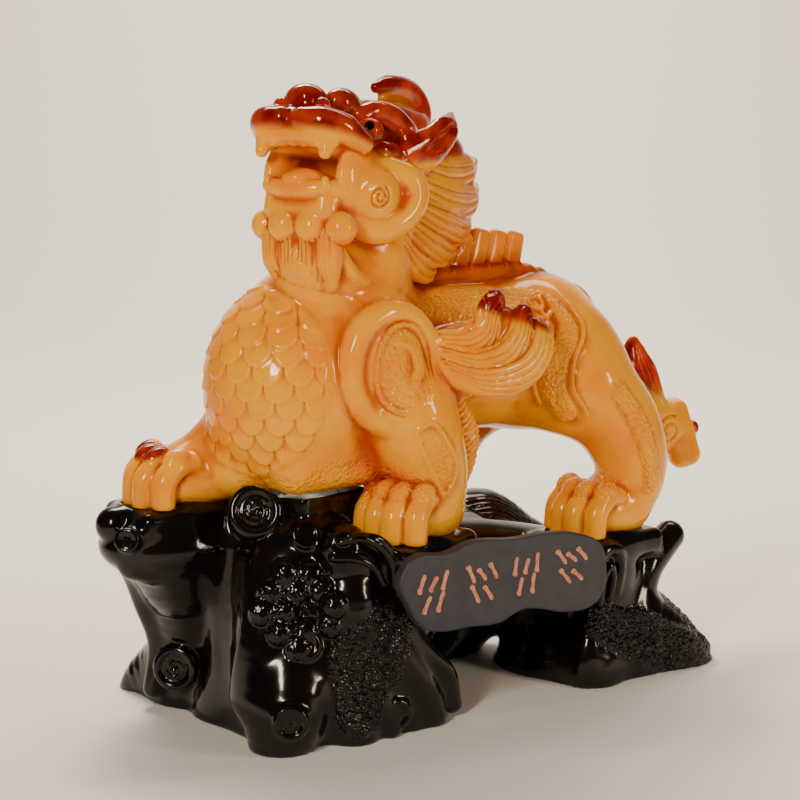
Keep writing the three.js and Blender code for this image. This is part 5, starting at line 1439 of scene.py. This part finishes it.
def corners_of(mesh):
    """Corners of a mesh in the carving's millimetres."""
    found = np.empty(len(mesh.vertices) * 3, np.float32)
    mesh.vertices.foreach_get("co", found)
    return found.reshape(-1, 3) / MM - SHIFT


def paint(mesh, name, values):
    """Gives each corner a share that a material reads."""
    layer = mesh.attributes.new(name, "FLOAT", "POINT")
    layer.data.foreach_set("value", np.clip(values, 0, 1).astype(np.float32))


# Rounds of smoothing and depth in millimetres that tell the fine and the broad hollows, which the amber gets
# as painted shade
FINE_SHADE_HOLLOWS = (12, 0.9)
BROAD_SHADE_HOLLOWS = (110, 6)
BROAD_SHADE_SHARE = 0.6


def hollows(mesh, rounds, depth):
    """How far each corner lies in a hollow: the skin's distance below its own smoothed self, as a
    share of a depth. More rounds of smoothing find broader hollows."""
    corners = corners_of(mesh).astype(float)
    edges = np.empty(len(mesh.edges) * 2, np.int32)
    mesh.edges.foreach_get("vertices", edges)
    a, b = edges.reshape(-1, 2).T
    count = np.bincount(a, minlength=len(corners)) + np.bincount(b, minlength=len(corners))
    normals = np.empty(len(corners) * 3, np.float32)
    mesh.vertices.foreach_get("normal", normals)
    smooth = corners.copy()
    for _ in range(rounds):
        total = np.stack([np.bincount(a, smooth[b, axis], len(corners))
                          + np.bincount(b, smooth[a, axis], len(corners)) for axis in range(3)], 1)
        smooth = total / np.maximum(count, 1)[:, None]
    return ((smooth - corners) * normals.reshape(-1, 3)).sum(1) / depth


def soft_step(value, low, high):
    """0 below low, 1 above high and a smooth rise between them."""
    share = np.clip((value - low) / (high - low), 0, 1)
    return share * share * (3 - 2 * share)


def inside(form, points, edge):
    """1 inside a form, 0 outside it and soft at its skin."""
    return np.clip(0.5 - form.far(points[:, None, :].astype(np.float32), None, None)[:, 0] / edge, 0, 1)


# The dye's lower edge over the head: how far ahead, and how high up there
DYE_AHEAD = (-100, -60, -30, 0, 30, 50, 80)
DYE_UP = (30, 27, 20, 12, 12, 14, 17)


def head_dye(points):
    """Share of red dye over the top of the head: nose, upper lips, eyes, brows, ears and horn."""
    ahead, _, up = placed(np.linalg.inv(HEAD), points).T
    line = np.interp(ahead, DYE_AHEAD, DYE_UP)
    whole = soft_step(up, line - 2, line + 3) * soft_step(points[:, 2], 270, 280)
    web = inside(egg(HEAD, (-34, 0, 52), (22, 9, 10)), points, 3)
    return whole * (1 - 0.85 * web)


def dyed(points):
    """The head's top, the tips of the wings, the fin, the flame on the tail and two toes of a paw."""
    x, y, z = points.T
    tips = soft_step(z + 0.33 * (x - 10), 244, 250) * (np.abs(y) > 50) * (x > 0) * (x < 70)
    back = (np.abs(y) < 12) * (x > -12) * (x < 125)
    fin = soft_step(z, 252, 258) * (0.7 - 0.55 * soft_step(z, 264, 274)) * back
    flame = inside(limb(LIFT, FLAME, [15, 17, 14, 6]), points, 3) * soft_step(z, 166, 178)
    rump = 0.6 * inside(limb(LIFT, [(136, 0, 252), (156, 0, 232), (172, 0, 206)], [6, 6, 6]), points, 4)
    nails = inside(egg(looking_frame(*PAWS["front_far"]), (32, -4, 36), (15, 21, 10)), points, 2)
    return np.maximum.reduce([head_dye(points), tips, fin, flame, rump, nails])


def fur_forms():
    """Where the skin is stippled: cushions, bands, knuckles and the chest's lower edge."""
    forms = [
        egg(LIFT, (-38, -60, 215), (20, 12, 28)),
        limb(LIFT, [(-26, -70, 177), (-20, -70, 162), (-14, -66, 144)], [7, 7, 4]),
        limb(LIFT, BAND, [6, 8, 8.5, 8.5, 6]),
        limb(LIFT, REAR_FUR, [8, 9, 8, 7]),
        egg(LIFT, (-70, -4, 146), (44, 48, 24)),
        egg(LIFT, (40, -30, 246), (50, 18, 12)),
    ]
    for name in ("front_near", "hind_near", "hind_far"):
        forms.append(egg(looking_frame(*PAWS[name]), (24, 0, 32), (18, 24, 12)))
    return forms


def furred(points):
    """Share of stipple; the comma on the shoulder stays smooth."""
    share = np.max([inside(form, points, 4) for form in fur_forms()], axis=0)
    return share * (1 - inside(limb(LIFT, COMMA, [4, 6, 7, 6, 4]), points, 1.5))


# Sizes and colours that a user may change

def colour(name, description, code):
    return FloatVectorProperty(name=name, description=description, subtype="COLOR", size=4,
                               min=0, max=1, default=linear(code))


def length(name, description, default):
    return FloatProperty(name=name, description=description, default=default * MM, min=0,
                         subtype="DISTANCE", unit="LENGTH", precision=5)


class PixiuSizes(bpy.types.PropertyGroup):
    figure_grain: length("Figure grain", "Spacing of the samples that the figure is carved from", 1.2)
    root_grain: length("Root grain", "Spacing of the samples that the root is carved from", 1.5)
    plate_length: length("Plate length", "Length of the name plate", 155)
    plate_height: length("Plate height", "Height of the name plate without its waves", 47)
    stroke_block: length("Stroke block", "Side of the square that a group of strokes fills", 23)
    stroke_width: length("Stroke width", "Breadth of a raised stroke", 3)
    stone_width: length("Stone width", "Diameter of the stone in the tail", 10)
    stone_rise: length("Stone rise", "Height of the stone's dome over its setting", 4.5)


class PixiuColours(bpy.types.PropertyGroup):
    amber: colour("Amber", "Yellow-orange of the body", "#FFAE00")
    amber_deep: colour("Deep amber", "Darker clouds in the body", "#F89000")
    # Painted shade: a deeper orange laid where the carving is hollow, standing for shade there
    amber_painted_shade: colour("Hollow amber", "Orange that gathers in the carving's hollows", "#C04600")
    amber_red: colour("Red amber", "Dark red of the head's top", "#A00C00")
    # Painted glow: the orange-red pools over the red dye
    amber_glow: colour("Glowing red", "Orange-red where light gathers in the head's top", "#E04600")
    black: colour("Black", "The root's main colour", "#070505")
    black_brown: colour("Black-brown", "Warmer clouds in the root", "#140C08")
    plate: colour("Plate", "Slate grey of the name plate", "#2A2930")
    plate_light: colour("Light plate", "Lighter clouds on the name plate", "#35343C")
    stroke: colour("Stroke", "Salmon of the raised strokes", "#D98A6C")
    stroke_worn: colour("Worn stroke", "The strokes where the enamel is thin", "#B0654B")
    # The stone's two colours are painted glow in its middle and painted shade at its rim
    stone: colour("Stone", "Bright red of the stone", "#C0101C")
    stone_rim_shade: colour("Dark stone", "The stone towards its rim", "#5A0210")
    backdrop: colour("Backdrop", "Pale floor and wall of the stage", "#F1EDE6")


class PIXIU_OT_carve_figure(bpy.types.Operator):
    """Carves the pixiu and gives it its amber"""
    bl_idname = "pixiu.carve_figure"
    bl_label = "Carve the pixiu"

    def execute(self, context):
        scene = context.scene
        grain = scene.pixiu_sizes.figure_grain / MM
        piece = skin_mesh("pixiu_figure", figure_steps(), grain, FIGURE_TRIANGLES)
        mesh = piece.data
        # How much painted shade each corner gets, from the fine and the broad hollows
        broad = BROAD_SHADE_SHARE * hollows(mesh, *BROAD_SHADE_HOLLOWS)
        paint(mesh, "hollow", np.maximum(hollows(mesh, *FINE_SHADE_HOLLOWS), broad))
        paint(mesh, "amber_red", dyed(corners_of(mesh)))
        paint(mesh, "furred", furred(corners_of(mesh)))
        mesh.materials.append(amber_material(scene.pixiu_colours))
        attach(piece, ROOT_BODY)
        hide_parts("pixiu")
        return {"FINISHED"}


class PIXIU_OT_carve_root(bpy.types.Operator):
    """Carves the root base with its name plate and strokes"""
    bl_idname = "pixiu.carve_root"
    bl_label = "Carve the root base"

    def execute(self, context):
        scene = context.scene
        looks, sizes = scene.pixiu_colours, scene.pixiu_sizes
        steps = root_steps(figure_steps())
        piece = skin_mesh("root_base_casting", steps, sizes.root_grain / MM, ROOT_TRIANGLES)
        corners = corners_of(piece.data)
        crusts = [inside(limb(WORLD, *patch), corners, 4) for patch in LICHEN]
        paint(piece.data, "lichen", np.max(crusts, axis=0))
        piece.data.materials.append(black_material(looks))
        plate = name_plate(sizes)
        plate.data.materials.append(plate_material(looks))
        strokes = plate_strokes(sizes)
        enamel = stroke_material(looks)
        for stroke in strokes:
            stroke.data.materials.append(enamel)
        with context.temp_override(active_object=piece, selected_editable_objects=[piece, plate, *strokes]):
            bpy.ops.object.join()
        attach(piece, ROOT_BODY)
        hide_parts("root_base")
        return {"FINISHED"}


class PIXIU_OT_set_stone(bpy.types.Operator):
    """Sets the red stone in the end of the tail"""
    bl_idname = "pixiu.set_stone"
    bl_label = "Set the tail stone"

    def execute(self, context):
        piece = stone(context.scene.pixiu_sizes)
        piece.data.materials.append(stone_material(context.scene.pixiu_colours))
        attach(piece, ROOT_BODY)
        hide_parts("tail_gem")
        return {"FINISHED"}


CAMERA_AIM = (0, 0, 185)
CAMERA_HEADING = -35
CAMERA_RISE = 10
CAMERA_AWAY = 1100
CAMERA_LENS = 81
CAMERA_SENSOR = 36
WORLD_LIGHT = 0.07

# Place, aim, sides in metres, power in watts and colour of each: before the face, beside the
# plate, over the back, and one that lights the wall
LAMPS = (
    ((-850, -550, 650), CAMERA_AIM, (0.1, 0.34), 8.5, "#FFF1DC"),
    ((520, -1000, 420), CAMERA_AIM, (0.07, 0.4), 4.8, "#FFEFD8"),
    ((150, 550, 1050), CAMERA_AIM, (0.4, 0.3), 8, "#FFF1DE"),
    ((500, 700, 1500), (900, 1400, 500), (1.6, 1.0), 52, "#FFF3E2"),
)


def lamp(spot, aim, size, power, code):
    """A soft box that faces its aim."""
    light = bpy.data.lights.new("soft_light", "AREA")
    light.shape = "RECTANGLE"
    light.size, light.size_y = size
    light.energy = power
    light.color = linear(code)[:3]
    thing = put("soft_light", light)
    thing.location = in_frame(*spot).translation
    away = in_frame(*aim).translation - thing.location
    thing.rotation_euler = away.to_track_quat("-Z", "Y").to_euler()


def paper_material(looks):
    """Pale matt paper: an even ground that gives the resin something light to mirror."""
    material, tree = new_material("Pale paper, matt")
    return finished(material, {"Base Color": looks.backdrop, "Roughness": 0.7})


def camera():
    """Looks at the figure from the side with the plate, over the raised paw."""
    turn, rise = math.radians(CAMERA_HEADING), math.radians(CAMERA_RISE)
    away = np.array([math.sin(turn) * math.cos(rise), -math.cos(turn) * math.cos(rise), math.sin(rise)])
    lens = bpy.data.cameras.new("photo_camera")
    lens.lens = CAMERA_LENS
    lens.sensor_width = CAMERA_SENSOR
    thing = put("photo_camera", lens)
    thing.location = in_frame(*(np.array(CAMERA_AIM) + away * CAMERA_AWAY)).translation
    thing.rotation_euler = Vector(away).to_track_quat("Z", "Y").to_euler()
    bpy.context.scene.camera = thing


SHEET_BEND = 600
SHEET_NEAR = -2500
SHEET_FAR = 1500
SHEET_TOP = 3000
SHEET_WIDE = 4500
SHEET_STEPS = 24


def backdrop_sheet(material):
    """A floor that bends up into a wall behind the object, square to the camera's heading."""
    profile = [(SHEET_NEAR, 0)]
    for turn in np.radians(np.linspace(0, 90, SHEET_STEPS)):
        profile.append((SHEET_FAR + SHEET_BEND * math.sin(turn), SHEET_BEND * (1 - math.cos(turn))))
    profile.append((SHEET_FAR + SHEET_BEND, SHEET_TOP))
    corners = [(side * SHEET_WIDE * MM, away * MM, up * MM) for away, up in profile for side in (-1, 1)]
    faces = [(2 * i, 2 * i + 1, 2 * i + 3, 2 * i + 2) for i in range(len(profile) - 1)]
    mesh = bpy.data.meshes.new("backdrop")
    mesh.from_pydata(corners, [], faces)
    mesh.transform(in_frame(0, 0, 0) @ Matrix.Rotation(math.radians(CAMERA_HEADING), 4, "Z"))
    mesh.materials.append(material)
    mesh.shade_smooth()
    piece = put("backdrop", mesh)


class PIXIU_OT_build_stage(bpy.types.Operator):
    """Lays a plain floor and backdrop, and sets the lights and the camera"""
    bl_idname = "pixiu.build_stage"
    bl_label = "Build the stage"

    def execute(self, context):
        looks = context.scene.pixiu_colours
        backdrop_sheet(paper_material(looks))
        for spot, aim, size, power, code in LAMPS:
            lamp(spot, aim, size, power, code)
        world = bpy.data.worlds.new("Studio")
        world.use_nodes = True
        world.node_tree.nodes["Background"].inputs["Color"].default_value = looks.backdrop
        world.node_tree.nodes["Background"].inputs["Strength"].default_value = WORLD_LIGHT
        context.scene.world = world
        camera()
        return {"FINISHED"}


STEPS = (PIXIU_OT_carve_figure, PIXIU_OT_carve_root, PIXIU_OT_set_stone, PIXIU_OT_build_stage)


class PIXIU_PT_panel(bpy.types.Panel):
    """Sizes, colours and steps of the pixiu"""
    bl_idname = "PIXIU_PT_panel"
    bl_label = "Pixiu on a root base"
    bl_space_type = "VIEW_3D"
    bl_region_type = "UI"
    bl_category = "Pixiu"

    def draw(self, context):
        for group in (context.scene.pixiu_sizes, context.scene.pixiu_colours):
            for key in group.bl_rna.properties.keys():
                if key not in ("rna_type", "name"):
                    self.layout.prop(group, key)
        for step in STEPS:
            self.layout.operator(step.bl_idname)


CLASSES = (PixiuSizes, PixiuColours) + STEPS + (PIXIU_PT_panel,)


def register():
    for kind in CLASSES:
        bpy.utils.register_class(kind)
    bpy.types.Scene.pixiu_sizes = PointerProperty(type=PixiuSizes)
    bpy.types.Scene.pixiu_colours = PointerProperty(type=PixiuColours)


def unregister():
    del bpy.types.Scene.pixiu_colours
    del bpy.types.Scene.pixiu_sizes
    for kind in reversed(CLASSES):
        bpy.utils.unregister_class(kind)


def main():
    register()
    bpy.ops.pixiu.carve_figure()
    bpy.ops.pixiu.carve_root()
    bpy.ops.pixiu.set_stone()
    bpy.ops.pixiu.build_stage()


if __name__ == "__main__":
    main()
